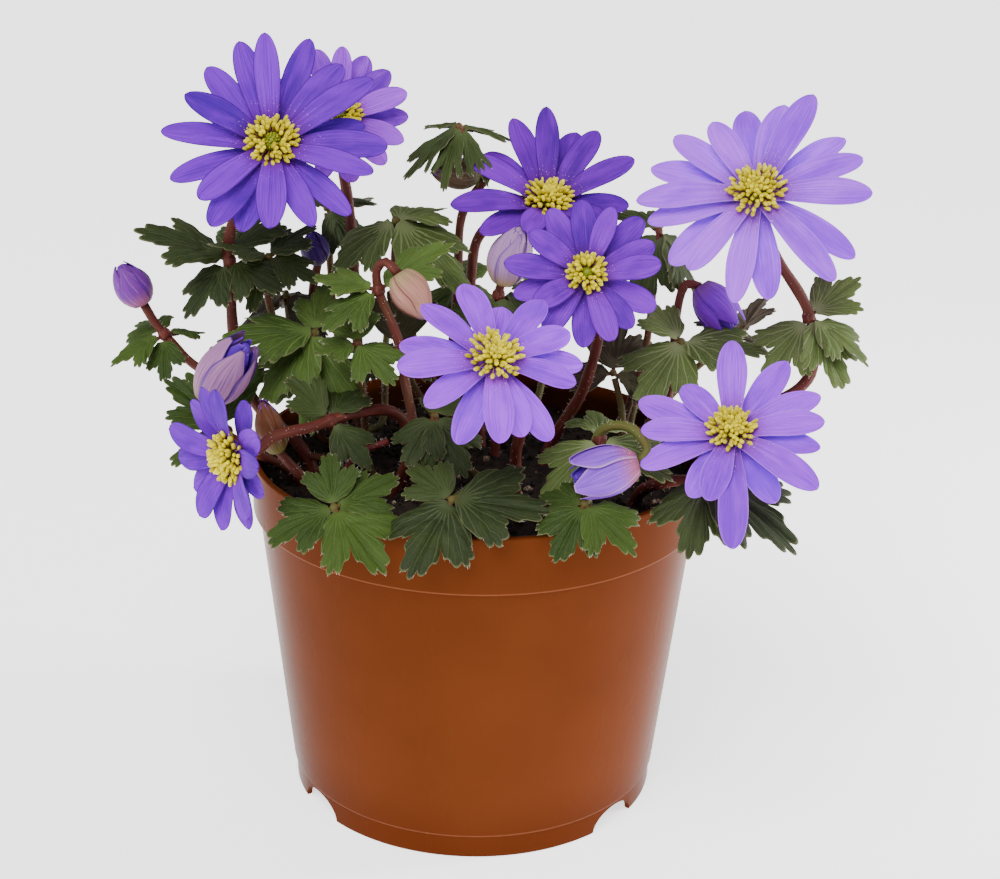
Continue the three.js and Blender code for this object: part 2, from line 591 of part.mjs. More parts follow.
// The stamens: a round head, every second point of its upper rings raised into a spike.
function bloomStamens(bloom, grow) {
  const reach = STAMEN_REACH * (bloom.width / 7) + grow;
  const core = CORE_RADIUS + grow;
  const geometry = new THREE.SphereGeometry(1, STAMEN_SIDES, 5).rotateX(Math.PI / 2);
  moved(geometry, (point) => {
    const step = Math.round((STAMEN_SIDES * Math.atan2(point.y, point.x)) / (2 * Math.PI));
    const ring = Math.round((5 * Math.acos(point.z)) / Math.PI);
    const raised = ring === 0 || (ring < 3 && (step + ring) % 2 === 0);
    point.multiplyScalar(raised ? reach : core);
    point.z = STAMEN_FLATNESS * point.z + (raised ? STAMEN_RISE * (reach - point.z) : 0);
  });
  const level = HUB_HEIGHT / 2 + GAP + STAMEN_FLATNESS * CORE_RADIUS;
  return solid(geometry.translate(0, 0, level).applyMatrix4(bloomFrame(bloom)));
}

// A bud: an egg whose wrapped petals show as shallow flutes that wind round it.
function budBody(bud, grow) {
  const base = vector(bud.base);
  const tip = vector(bud.tip);
  const length = base.distanceTo(tip) + grow;
  const geometry = new THREE.SphereGeometry(1, bud.flutes * 2, 6);
  moved(geometry, (point) => {
    const t = (point.y + 1) / 2;
    const turn = Math.atan2(point.z, point.x);
    const fullness = BUD_FULLNESS - BUD_TAPER * t + FLUTE_DEPTH * Math.cos(bud.flutes * turn);
    const r = Math.hypot(point.x, point.z) * (bud.width / 2 + grow) * fullness;
    const twisted = turn + BUD_TWIST * t;
    point.set(r * Math.cos(twisted), length * t, r * Math.sin(twisted));
  });
  return solid(geometry.applyMatrix4(along(base, tip, vector(BUD_FRONT))));
}

// A leaflet's edge from the right of its foot round to the left, and a point on the rib of each lobe. A lobe
// has a shoulder on both sides of its tip, and there is a cut between two lobes.
function leafletOutline(lobes) {
  const spot = (turn, u, v) => [
    u * Math.sin(turn) + v * Math.cos(turn),
    MIDRIB_POINT + u * Math.cos(turn) - v * Math.sin(turn),
  ];
  const edge = [[LEAF_FOOT, 0]];
  const ribs = [];
  [lobes.spread, 0, -lobes.spread].forEach((angle, k) => {
    const turn = radians(angle);
    const size = (1 - MIDRIB_POINT) * (k === 1 ? 1 : lobes.side);
    const [u, v] = lobes.shoulder.map((share) => share * size);
    const low = lobes.low * size;
    edge.push(spot(turn, u, k === 0 ? low : v), spot(turn, size, 0), spot(turn, u, k === 2 ? -low : -v));
    edge.push(k < 2 ? spot(radians(angle - lobes.spread / 2), lobes.cut, 0) : [-LEAF_FOOT, 0]);
    ribs.push(spot(turn, size / 2, 0));
  });
  return { edge, ribs };
}

// A thin solid with a sharp edge. Its upper face is a fan of facets round each rib, its lower face one fan.
function leaflet(length, width, finger, grow) {
  const { edge, ribs } = leafletOutline(finger ? FINGER_LOBES : BROAD_LOBES);
  const widest = 2 * Math.max(...edge.map(([x]) => x));
  const bend = ([x, y], rise) => {
    const z = length * (LEAF_LIFT * Math.abs(x) - LEAF_DROOP * y ** 2);
    return [x * ((width + 5 * grow) / widest), y * (length + 4 * grow), z + rise];
  };
  const heart = [0, MIDRIB_POINT];
  const thick = BLADE / 2 + grow;
  const points = [
    ...edge.map((point) => bend(point, 0)),
    ...[heart, ...ribs].map((point) => bend(point, thick - RIB_DEPTH * length)),
    bend(heart, -thick - RIB_DEPTH * length),
  ];
  const last = edge.length - 1;
  const over = edge.length;
  const under = points.length - 1;
  const faces = [over, last, 0, under, 0, last];
  ribs.forEach((_, k) => {
    const rib = over + 1 + k;
    const from = 4 * k;
    faces.push(over, from, rib, over, rib, from + 4);
    for (let i = from; i < from + 4; i += 1) {
      faces.push(rib, i, i + 1, under, i + 1, i);
    }
  });
  const geometry = new THREE.BufferGeometry();
  geometry.setAttribute("position", new THREE.Float32BufferAttribute(points.flat(), 3));
  geometry.setIndex(faces);
  return geometry;
}

// The point of a stem that is nearest to a place, and the way the stem runs there.
function stemAt(place) {
  let nearest = { distance: Infinity };
  for (const tuber of Object.keys(TUBERS)) {
    for (const [points] of stemsOf(tuber)) {
      for (let i = 1; i < points.length; i += 1) {
        const run = new THREE.Line3(points[i - 1], points[i]);
        const point = run.closestPointToPoint(place, true, new THREE.Vector3());
        const distance = point.distanceTo(place);
        const way = run.delta(new THREE.Vector3()).normalize();
        if (distance < nearest.distance) nearest = { distance, point, way };
      }
    }
  }
  return nearest;
}

function leafBody(leaf, grow) {
  const seat = leaf.ring ? stemAt(vector(leaf.centre)) : { point: vector(leaf.centre) };
  const centre = seat.point;
  const way = seat.way ?? centre.clone().sub(vector(leaf.stalk.at(-1))).normalize();
  const [x, y] = leaf.centre;
  const face = new THREE.Vector3(LEAF_LEAN.side * x, LEAF_LEAN.depth * y + LEAF_LEAN.front, 1).normalize();
  const radius = (leaf.ring ? COLLAR_RADIUS : LEAF_HUB_RADIUS) + grow;
  const height = (leaf.ring ? COLLAR_DEPTH : LEAF_HUB_HEIGHT) + 2 * grow;
  const hub = new THREE.CylinderGeometry(radius, radius, height, KNOT_SIDES);
  hub.applyQuaternion(new THREE.Quaternion().setFromUnitVectors(new THREE.Vector3(0, 1, 0), way));
  const sunk = leaf.ring ? COLLAR_SINK : LEAF_HUB_SINK;
  const blades = leaf.tips.map((tip) => {
    const end = vector(tip);
    const length = centre.distanceTo(end) - sunk;
    const root = centre.clone().lerp(end, sunk / (length + sunk));
    const blade = leaflet(length, length * leaf.broad, leaf.finger, grow);
    return solid(blade.applyMatrix4(along(root, end, face)));
  });
  return join([solid(hub.translate(...centre)), ...blades]);
}

const group = new THREE.Group();
group.name = "potted_windflower";
const placed = [];

function apart(a, b) {
  return [0, 1, 2].some((k) => a.min[k] > b.max[k] || b.min[k] > a.max[k]);
}

// Adds a piece, cut back where it would come closer than the gap to a piece that is already there.
function place(name, build, color, roughness) {
  let body = build(0);
  for (const other of placed) {
    if (!apart(body.boundingBox(), other.boundingBox())) body = body.subtract(other);
  }
  body = largest(body);
  placed.push(build(GAP).add(body));
  const { vertProperties, triVerts } = body.getMesh();
  const geometry = new THREE.BufferGeometry();
  geometry.setAttribute("position", new THREE.BufferAttribute(vertProperties, 3));
  geometry.setIndex(new THREE.BufferAttribute(triVerts, 1));
  geometry.computeVertexNormals();
  const mesh = new THREE.Mesh(geometry, new THREE.MeshStandardMaterial({ color, roughness, metalness: 0 }));
  mesh.name = name;
  group.add(mesh);
}

place("pot", pot, COLOURS.pot, 0.38);
for (const tuber of Object.keys(TUBERS)) {
  place(`tuber_${tuber}`, (grow) => tuberWithStems(tuber, grow), COLOURS.stem, 0.6);
}
place("soil", soil, COLOURS.soil, 0.95);
for (const bloom of BLOOMS) {
  place(`${bloom.name}_petals`, (grow) => bloomPetals(bloom, grow), bloom.colour, 0.55);
}
for (const bloom of BLOOMS) {
  place(`${bloom.name}_stamens`, (grow) => bloomStamens(bloom, grow), COLOURS.stamens, 0.6);
}
for (const bud of BUDS) {
  place(bud.name, (grow) => budBody(bud, grow), bud.colour, 0.5);
}
for (const leaf of LEAVES) {
  place(leaf.name, (grow) => leafBody(leaf, grow), COLOURS.leaf, 0.6);
}

export default group;
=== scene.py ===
"""Potted Grecian windflower (Anemone blanda): the plastic nursery pot, its soil, the tubers with their
stems, the cut leaves, the blooms and the buds. Plant sizes are written in millimetres, and every mesh is
made in metres."""

import math

import bpy
import numpy as np
from mathutils import Matrix, Vector, noise


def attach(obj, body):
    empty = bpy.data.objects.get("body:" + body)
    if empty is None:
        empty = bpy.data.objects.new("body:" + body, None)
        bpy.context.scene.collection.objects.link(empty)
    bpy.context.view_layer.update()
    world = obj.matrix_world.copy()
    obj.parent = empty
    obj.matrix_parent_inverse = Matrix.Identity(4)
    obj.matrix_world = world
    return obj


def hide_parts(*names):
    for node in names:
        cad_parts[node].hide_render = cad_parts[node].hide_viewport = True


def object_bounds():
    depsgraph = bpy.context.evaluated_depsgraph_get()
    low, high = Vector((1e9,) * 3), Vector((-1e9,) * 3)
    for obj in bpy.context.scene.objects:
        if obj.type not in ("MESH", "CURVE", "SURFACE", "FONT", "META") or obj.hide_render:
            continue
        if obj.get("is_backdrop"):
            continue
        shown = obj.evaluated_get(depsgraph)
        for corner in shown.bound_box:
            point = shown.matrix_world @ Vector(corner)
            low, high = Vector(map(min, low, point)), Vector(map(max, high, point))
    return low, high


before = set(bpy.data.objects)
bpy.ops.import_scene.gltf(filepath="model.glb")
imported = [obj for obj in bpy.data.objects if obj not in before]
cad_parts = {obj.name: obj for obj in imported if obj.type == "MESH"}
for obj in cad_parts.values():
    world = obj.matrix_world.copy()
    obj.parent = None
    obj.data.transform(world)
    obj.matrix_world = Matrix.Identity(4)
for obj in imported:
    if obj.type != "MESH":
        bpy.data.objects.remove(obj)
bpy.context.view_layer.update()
bpy.ops.object.select_all(action="DESELECT")
MM = 0.001
FULL_TURN = 2 * math.pi


# The pot
# One thin moulded shell of terracotta-brown plastic: a plain upright collar over a tapered body, and a foot
# ring that is open in three low arches so that water can drain away from the holes in the floor.
RIM_RADIUS = 55.0
POT_HEIGHT = 88.0
COLLAR_BOTTOM = 74.0
SHOULDER = 53.6
WALL = 1.4
INNER_RIM = RIM_RADIUS - WALL
RIM_FALL = 0.2
DRAFT = 0.1
BASE_RADIUS = 46.0
FOOT_RADIUS = 45.4
FOOT_HEIGHT = 6.0
FLOOR_LEVEL = 5.2
FLOOR_TOP = FLOOR_LEVEL + WALL
EDGE_RADIUS = 0.45
POT_SIDES = 144
ARCHES = (-56, 51, 179)
ARCH_WIDTH = 15.0
ARCH_HEIGHT = 5.0
ARCH_DEPTH = 20.0
DRAINS = (45, 135, 225, 315)
DRAIN_CIRCLE = 28.0
DRAIN_RADIUS = 4.0
DRAIN_DEPTH = 10.0


def add(tree, kind, inputs=None, **settings):
    """A new node, its settings, and its inputs from values or from other nodes' sockets."""
    node = tree.nodes.new(kind)
    for key, value in settings.items():
        setattr(node, key, value)
    for key, value in (inputs or {}).items():
        if isinstance(value, bpy.types.NodeSocket):
            tree.links.new(value, node.inputs[key])
        else:
            node.inputs[key].default_value = value
    return node


def calc(tree, operation, *values):
    return add(tree, "ShaderNodeMath", dict(enumerate(values)), operation=operation).outputs[0]


def times(tree, value, factor):
    return calc(tree, "MULTIPLY", value, factor)


def step(tree, value, low, high):
    """0 at low, 1 at high, and smooth between."""
    limits = {0: value, 1: low, 2: high}
    return add(tree, "ShaderNodeMapRange", limits, interpolation_type="SMOOTHSTEP").outputs[0]


def linear(code):
    """A screen colour such as #8c4726 as the renderer's linear values."""
    parts = [int(code[i:i + 2], 16) / 255 for i in (1, 3, 5)]
    return (*[c / 12.92 if c < 0.04045 else ((c + 0.055) / 1.055) ** 2.4 for c in parts], 1.0)


def blend(tree, factor, low, high):
    """A mix of two colours, each a screen colour or another node's socket."""
    low, high = [linear(colour) if isinstance(colour, str) else colour for colour in (low, high)]
    return add(tree, "ShaderNodeMix", {0: factor, 6: low, 7: high}, data_type="RGBA").outputs[2]


def laid(tree, colour, over, mask, amount):
    """The colour with another one laid over it where the mask is 1."""
    return blend(tree, times(tree, mask, amount), colour, over)


def noise_on(tree, place, stretch, scale=1.0, detail=3.0, roughness=0.5):
    sized = add(tree, "ShaderNodeMapping", {"Vector": place, "Scale": stretch}).outputs[0]
    inputs = {"Vector": sized, "Scale": scale, "Detail": detail, "Roughness": roughness}
    return add(tree, "ShaderNodeTexNoise", inputs).outputs[0]


def object_noise(tree, scale, detail=3.0, stretch=(1, 1, 1)):
    """Noise over the whole object, scale in features to a millimetre."""
    return noise_on(tree, add(tree, "ShaderNodeTexCoord").outputs["Object"], stretch, scale / MM, detail)


def mark(tree, key):
    """A value that the mesh carries at each of its points."""
    return add(tree, "ShaderNodeAttribute", attribute_name=key).outputs["Fac"]


def relief(tree, height, strength, distance):
    """The bumped normal of a height pattern, distance in millimetres."""
    inputs = {"Height": height, "Strength": strength, "Distance": distance * MM}
    return add(tree, "ShaderNodeBump", inputs).outputs[0]


def new_material(name, **shader):
    """A material with its shader's plain values, and the shader node to link patterns to."""
    material = bpy.data.materials.new(name)
    material.use_nodes = True
    principled = material.node_tree.nodes["Principled BSDF"]
    for key, value in shader.items():
        principled.inputs[key.replace("_", " ").title().replace("Ior", "IOR")].default_value = value
    return material, material.node_tree, principled


def finish_with(tree, shader, colour, normal=None, roughness=None):
    """Links a finish's patterns to its shader."""
    for key, pattern in (("Base Color", colour), ("Normal", normal), ("Roughness", roughness)):
        if pattern is not None:
            tree.links.new(pattern, shader.inputs[key])


def new_group(name, inputs, outputs):
    """A named effect: inputs are {name: value}, outputs {name: socket kind}. Returns the tree and its
    ends."""
    tree = bpy.data.node_groups.new(name, "ShaderNodeTree")
    for key, value in inputs.items():
        kind = "NodeSocketColor" if isinstance(value, tuple) else "NodeSocketFloat"
        tree.interface.new_socket(name=key, in_out="INPUT", socket_type=kind).default_value = value
    for key, kind in outputs.items():
        tree.interface.new_socket(name=key, in_out="OUTPUT", socket_type="NodeSocket" + kind)
    return tree, tree.nodes.new("NodeGroupInput").outputs, tree.nodes.new("NodeGroupOutput").inputs


def use_group(tree, group, **inputs):
    node = tree.nodes.new("ShaderNodeGroup")
    node.node_tree = group
    for key, value in inputs.items():
        node.inputs[key.capitalize()].default_value = value
    return node.outputs


def fasten(piece, slot, *nodes):
    """The piece rides with the object and stands for these solids, which it hides. The slot is not used."""
    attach(piece, "root")
    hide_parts(*nodes)


def cut(piece, cutter):
    """Takes the cutter's shape out of the piece."""
    bpy.ops.object.select_all(action="DESELECT")
    bpy.context.view_layer.objects.active = piece
    piece.select_set(True)
    hole = piece.modifiers.new("cut", "BOOLEAN")
    hole.operation, hole.object, hole.solver = "DIFFERENCE", cutter, "EXACT"
    bpy.ops.object.modifier_apply(modifier=hole.name)
    bpy.data.objects.remove(cutter)


def profile_ring(name, outline, steps):
    """A closed outline of (radius, height) in millimetres, spun round the middle of the object."""
    mesh = bpy.data.meshes.new(name)
    points = [(r * MM, 0, z * MM) for r, z in outline]
    mesh.from_pydata(points, [(i, i + 1) for i in range(len(points) - 1)], [])
    piece = bpy.data.objects.new(name, mesh)
    bpy.context.collection.objects.link(piece)
    bpy.context.view_layer.objects.active = piece
    piece.select_set(True)
    bpy.ops.object.mode_set(mode="EDIT")
    bpy.ops.mesh.select_all(action="SELECT")
    bpy.ops.mesh.spin(steps=steps, angle=FULL_TURN, center=(0, 0, 0), axis=(0, 0, 1))
    bpy.ops.mesh.select_all(action="SELECT")
    bpy.ops.mesh.remove_doubles(threshold=MM / 1000)
    bpy.ops.mesh.normals_make_consistent(inside=False)
    bpy.ops.object.mode_set(mode="OBJECT")
    return piece


def rounded(outline, radius, steps=4):
    """The outline with each corner, given as (r, z, share of the radius), rounded off."""
    result = []
    for i, (r, z, share) in enumerate(outline):
        here = Vector((r, z))
        if share == 0:
            result.append((r, z))
            continue
        before = (Vector(outline[i - 1][:2]) - here).normalized() * radius * share
        after = (Vector(outline[i + 1][:2]) - here).normalized() * radius * share
        for k in range(steps + 1):
            t = k / steps
            result.append(tuple(here + before * (1 - t) ** 2 + after * t ** 2))
    return result


pot = profile_ring("nursery_pot", rounded([
    (0, FLOOR_LEVEL, 0), (FOOT_RADIUS - WALL, FLOOR_LEVEL, 1), (FOOT_RADIUS - WALL, 0, 1),
    (FOOT_RADIUS, 0, 1), (FOOT_RADIUS, FOOT_HEIGHT - 0.3, 0.7), (BASE_RADIUS + DRAFT, FOOT_HEIGHT + 0.3, 0.8),
    (SHOULDER - DRAFT, COLLAR_BOTTOM - 0.5, 0.7), (RIM_RADIUS - DRAFT, COLLAR_BOTTOM, 1),
    (RIM_RADIUS, POT_HEIGHT - RIM_FALL, 1.2), (INNER_RIM, POT_HEIGHT, 1.2), (INNER_RIM, COLLAR_BOTTOM + 1, 1),
    (SHOULDER - WALL, COLLAR_BOTTOM - 1, 1), (BASE_RADIUS - WALL, FLOOR_TOP, 2), (0, FLOOR_TOP, 0),
], EDGE_RADIUS), POT_SIDES)
for azimuth in ARCHES:
    bpy.ops.mesh.primitive_cylinder_add(vertices=48, radius=0.5, depth=1)
    arch = bpy.context.object
    turn = Matrix.Rotation(math.radians(azimuth), 4, "Z")
    outwards = Matrix.Translation((0, -BASE_RADIUS * MM, 0)) @ Matrix.Rotation(math.pi / 2, 4, "X")
    size = Matrix.Diagonal((ARCH_WIDTH * MM, 2 * ARCH_HEIGHT * MM, ARCH_DEPTH * MM, 1))
    arch.data.transform(turn @ outwards @ size)
    cut(pot, arch)
for azimuth in DRAINS:
    bpy.ops.mesh.primitive_cylinder_add(vertices=32, radius=DRAIN_RADIUS * MM, depth=DRAIN_DEPTH * MM)
    drain = bpy.context.object
    turn = Matrix.Rotation(math.radians(azimuth), 4, "Z")
    drain.data.transform(turn @ Matrix.Translation((0, DRAIN_CIRCLE * MM, FLOOR_LEVEL * MM)))
    cut(pot, drain)
bpy.ops.object.select_all(action="DESELECT")
pot.select_set(True)
bpy.context.view_layer.objects.active = pot
bpy.ops.object.shade_smooth_by_angle(angle=math.radians(32))

# Painted shade darkens the foot and the inner wall above the soil; painted highlights pale the two moulded
# steps.
plastic, tree, shader = new_material("terracotta_plastic", ior=1.07, specular_ior_level=0.5)
cloud = object_noise(tree, 0.018, detail=4)
grain = object_noise(tree, 1.4, detail=2)
scuff = object_noise(tree, 0.09, detail=5, stretch=(1, 1, 0.25))
place = add(tree, "ShaderNodeTexCoord").outputs["Object"]
height = add(tree, "ShaderNodeSeparateXYZ", {0: place}).outputs[2]
flat = add(tree, "ShaderNodeVectorMath", {0: place, 1: (1, 1, 0)}, operation="MULTIPLY").outputs[0]
radius = add(tree, "ShaderNodeVectorMath", {0: flat}, operation="LENGTH").outputs["Value"]
brown = blend(tree, step(tree, cloud, 0.3, 0.7), "#56280f", "#602e14")
brown = laid(tree, brown, "#74381c", step(tree, scuff, 0.62, 0.8), 0.12)
# Painted shade: the plastic turns darker over the lowest 20 mm towards the foot.
brown = laid(tree, brown, "#4a1d08", step(tree, height, 20 * MM, 0.0), 0.6)
# Painted highlights: thin paler lines along the moulded steps at the collar's foot and above the foot ring.
for edge in (COLLAR_BOTTOM, FOOT_HEIGHT):
    off = calc(tree, "ABSOLUTE", calc(tree, "SUBTRACT", height, edge * MM))
    brown = laid(tree, brown, "#94583a", step(tree, off, 0.5 * MM, 0.2 * MM), 0.35)
# Painted shade: the inner wall between the rim and the soil is darkened, where the leaves shade it.
within = step(tree, radius, (INNER_RIM + 0.5) * MM, (INNER_RIM + 0.1) * MM)
wall_shade = times(tree, within, step(tree, height, (POT_HEIGHT - 1) * MM, (POT_HEIGHT - 4) * MM))
wall_shade = times(tree, wall_shade, step(tree, height, COLLAR_BOTTOM * MM, (COLLAR_BOTTOM + 2) * MM))
brown = laid(tree, brown, "#2a170c", wall_shade, 0.8)
gloss = add(tree, "ShaderNodeMapRange", {0: scuff, 3: 0.22, 4: 0.32}).outputs[0]
finish_with(tree, shader, brown, relief(tree, grain, strength=0.12, distance=0.15), gloss)
pot.data.materials.clear()
pot.data.materials.append(plastic)
fasten(pot, "pot", "pot")


# The soil
# Dark peat-based potting soil, loose and crumbly on top, with a few pale grains and bits of fibre in it. It
# fills the pot to a little under the rim.
SOIL_TOP = POT_HEIGHT - 8.0
SOIL_RADIUS = 53.2
SOIL_GAP = 0.5
SOIL_FOOT = FLOOR_TOP + 0.4
SOIL_RINGS = 46
SOIL_SIDES = 120
CRUMBS = 1500
SMALL_CRUMB, LARGE_CRUMB = 0.35, 1.35
CRUMB_TURN = 6.3
PALE_EVERY = 14


def draw(seed, index):
    """The repeatable draw from 0 to 1 that places everything on the plant."""
    value = math.sin(seed * 12.9898 + index * 78.233) * 43758.5453
    return value - math.floor(value)


class Shape:
    """A mesh in the making, in millimetres. Each point keeps a place on its own leaf, petal or stem, for
    patterns that follow it, and three marks: tint (a draw for the whole leaf or petal), under (1 on its
    back) and rim (1 at its edge)."""

    def __init__(self):
        self.points, self.places, self.marks, self.faces, self.finishes = [], [], [], [], []
        self.count = 0

    def add(self, points, faces, places=None, tint=0.0, under=0.0, rim=0.0, finish=0):
        points = np.asarray(points, float).reshape(-1, 3)
        n = len(points)
        self.points.append(points)
        self.places.append(np.zeros((n, 2)) if places is None else np.asarray(places, float).reshape(n, 2))
        marks = [np.broadcast_to(np.asarray(m, float).ravel(), n) for m in (tint, under, rim)]
        self.marks.append(np.stack(marks, axis=1))
        for block in faces if isinstance(faces, list) else [faces]:
            self.join(block + self.count, finish)
        self.count += n

    def join(self, faces, finish):
        """Faces between points that are there already."""
        self.faces.extend(faces.tolist())
        self.finishes.extend([finish] * len(faces))

    def build(self, name, *materials):
        mesh = bpy.data.meshes.new(name)
        mesh.from_pydata((np.concatenate(self.points) * MM).tolist(), [], self.faces)
        corners = np.zeros(len(mesh.loops), int)
        mesh.loops.foreach_get("vertex_index", corners)
        places = np.concatenate(self.places)[corners]
        mesh.uv_layers.new(name="place").data.foreach_set("uv", places.ravel())
        for k, key in enumerate(("tint", "under", "rim")):
            values = np.concatenate(self.marks)[:, k].copy()
            mesh.attributes.new(key, "FLOAT", "POINT").data.foreach_set("value", values)
        mesh.polygons.foreach_set("material_index", np.array(self.finishes))
        mesh.polygons.foreach_set("use_smooth", np.ones(len(mesh.polygons), bool))
        for material in materials:
            mesh.materials.append(material)
        mesh.update()
        piece = bpy.data.objects.new(name, mesh)
        bpy.context.collection.objects.link(piece)
        return piece


def grid(rows, columns, start=0, closed=False):
    """The quads of a grid of points, facing the way that across times along the grid points."""
    i = np.arange(rows - 1)[:, None] * columns
    j = np.arange(columns if closed else columns - 1)[None, :]
    k = (j + 1) % columns
    corners = [i + j, i + k, i + columns + k, i + columns + j]
    return np.stack([np.broadcast_to(c, (rows - 1, j.size)) for c in corners], axis=-1).reshape(-1, 4) + start


def fan(point, first, sides):
    """The triangles from one point to a ring of points that starts at first."""
    j = np.arange(sides)
    return np.stack([np.full(sides, point), first + j, first + (j + 1) % sides], axis=1)


def capped(rows, sides):
    """The faces of rings of points, closed by the two points after them: one for each end."""
    n = rows * sides
    return [grid(rows, sides, closed=True), fan(n, 0, sides)[:, [0, 2, 1]], fan(n + 1, n - sides, sides)]


def crumb(shape, centre, size, seed, finish):
    """A small irregular lump: the six corners of an octahedron, pushed about."""
    base = [Vector(v) for v in ((1, 0, 0), (0, 1, 0), (-1, 0, 0), (0, -1, 0), (0, 0, 1), (0, 0, -1))]
    points = [p * (0.7 + 0.6 * draw(seed, 10 + i)) * size for i, p in enumerate(base)]
    turn = Matrix.Rotation(CRUMB_TURN * draw(seed, 3), 3, (draw(seed, 4) - 0.5, draw(seed, 5) - 0.5, 0.4))
    faces = np.array([[0, 1, 4], [1, 2, 4], [2, 3, 4], [3, 0, 4], [1, 0, 5], [2, 1, 5], [3, 2, 5], [0, 3, 5]])
    shape.add([Vector(centre) + turn @ p for p in points], faces, tint=draw(seed, 6), finish=finish)


def soil_height(x, y):
    """The crumbly surface of the soil, which drops a little along the wall."""
    spot = Vector((x, y, 0))
    rise = 1.3 * noise.noise(spot * 0.11) + 0.9 * noise.noise(spot * 0.33)
    rise += 0.75 * abs(noise.noise(spot * 0.8))
    edge = max(0.0, math.hypot(x, y) - SOIL_RADIUS + 5) / 5
    return SOIL_TOP + 0.2 + rise - 1.2 * edge ** 2


soil = Shape()
turns = [FULL_TURN * j / SOIL_SIDES for j in range(SOIL_SIDES)]
circle = [(math.cos(turn), math.sin(turn)) for turn in turns]
points = [(0, 0, soil_height(0, 0))]
for i in range(1, SOIL_RINGS + 1):
    r = SOIL_RADIUS * (i / SOIL_RINGS) ** 0.8
    points += [(r * x, r * y, soil_height(r * x, r * y)) for x, y in circle]
lining = ((SOIL_RADIUS, COLLAR_BOTTOM + 1.5), (SHOULDER - WALL - SOIL_GAP, COLLAR_BOTTOM - 1.5),
          (BASE_RADIUS - WALL - SOIL_GAP, SOIL_FOOT))
for r, z in lining:
    points += [(r * x, r * y, z) for x, y in circle]
points.append((0, 0, SOIL_FOOT))
rows = SOIL_RINGS + len(lining)
lowest = 1 + (rows - 1) * SOIL_SIDES
soil.add(points, [fan(0, 1, SOIL_SIDES), grid(rows, SOIL_SIDES, 1, closed=True)[:, ::-1],
                  fan(len(points) - 1, lowest, SOIL_SIDES)[:, [0, 2, 1]]])
for i in range(CRUMBS):
    r, turn = (SOIL_RADIUS - 1.2) * math.sqrt(draw(7, i)), FULL_TURN * draw(8, i)
    x, y = r * math.cos(turn), r * math.sin(turn)
    size = SMALL_CRUMB + (LARGE_CRUMB - SMALL_CRUMB) * draw(9, i) ** 3
    crumb(soil, (x, y, soil_height(x, y) + size / 4), size, i + 0.5, 1 if i % PALE_EVERY == 0 else 0)

earth, tree, shader = new_material("potting_soil", roughness=0.95, specular_ior_level=0.2)
coarse = object_noise(tree, 0.35, detail=5)
fine = object_noise(tree, 2.6, detail=4)
brown = blend(tree, step(tree, coarse, 0.35, 0.65), "#120d09", "#241a12")
brown = blend(tree, step(tree, fine, 0.62, 0.74), brown, "#4a3828")
finish_with(tree, shader, brown, relief(tree, fine, strength=0.7, distance=0.5))
fleck, tree, shader = new_material("pale_grains", roughness=0.85)
pale = blend(tree, mark(tree, "tint"), "#6b5138", "#9b8a72")
finish_with(tree, shader, blend(tree, step(tree, object_noise(tree, 1.5), 0.4, 0.6), "#4c392a", pale))
fasten(soil.build("potting_soil_plug", earth, fleck), "soil", "soil")


# The tubers with their stems
# Three small dark tubers lie in the soil. Each has grown its own flower stems and leaf stalks, which are one
# body with it: red-brown, a little downy, thicker at the foot and greener where they are young.
TUBERS = {"left": (-30, 0, 67), "middle": (4, 10, 67), "right": (36, -4, 67)}
TUBER_SIZE = (13, 11, 5)
TUBER_POLE = 4.7
TUBER_ROWS, TUBER_SIDES = 14, 24
GAP = 0.3
HUB_HEIGHT = 3.2
LEAF_HUB_HEIGHT = 2.2
FLOWER_STEM, BUD_STEM, LEAF_STALK = 1.35, 1.15, 0.9
YOUNG_BUD = "bud_half_open_front"
STEM_HAIR = 0.8
HAIRS_A_STEP = 2.6
HAIR_WIDTH = 0.035
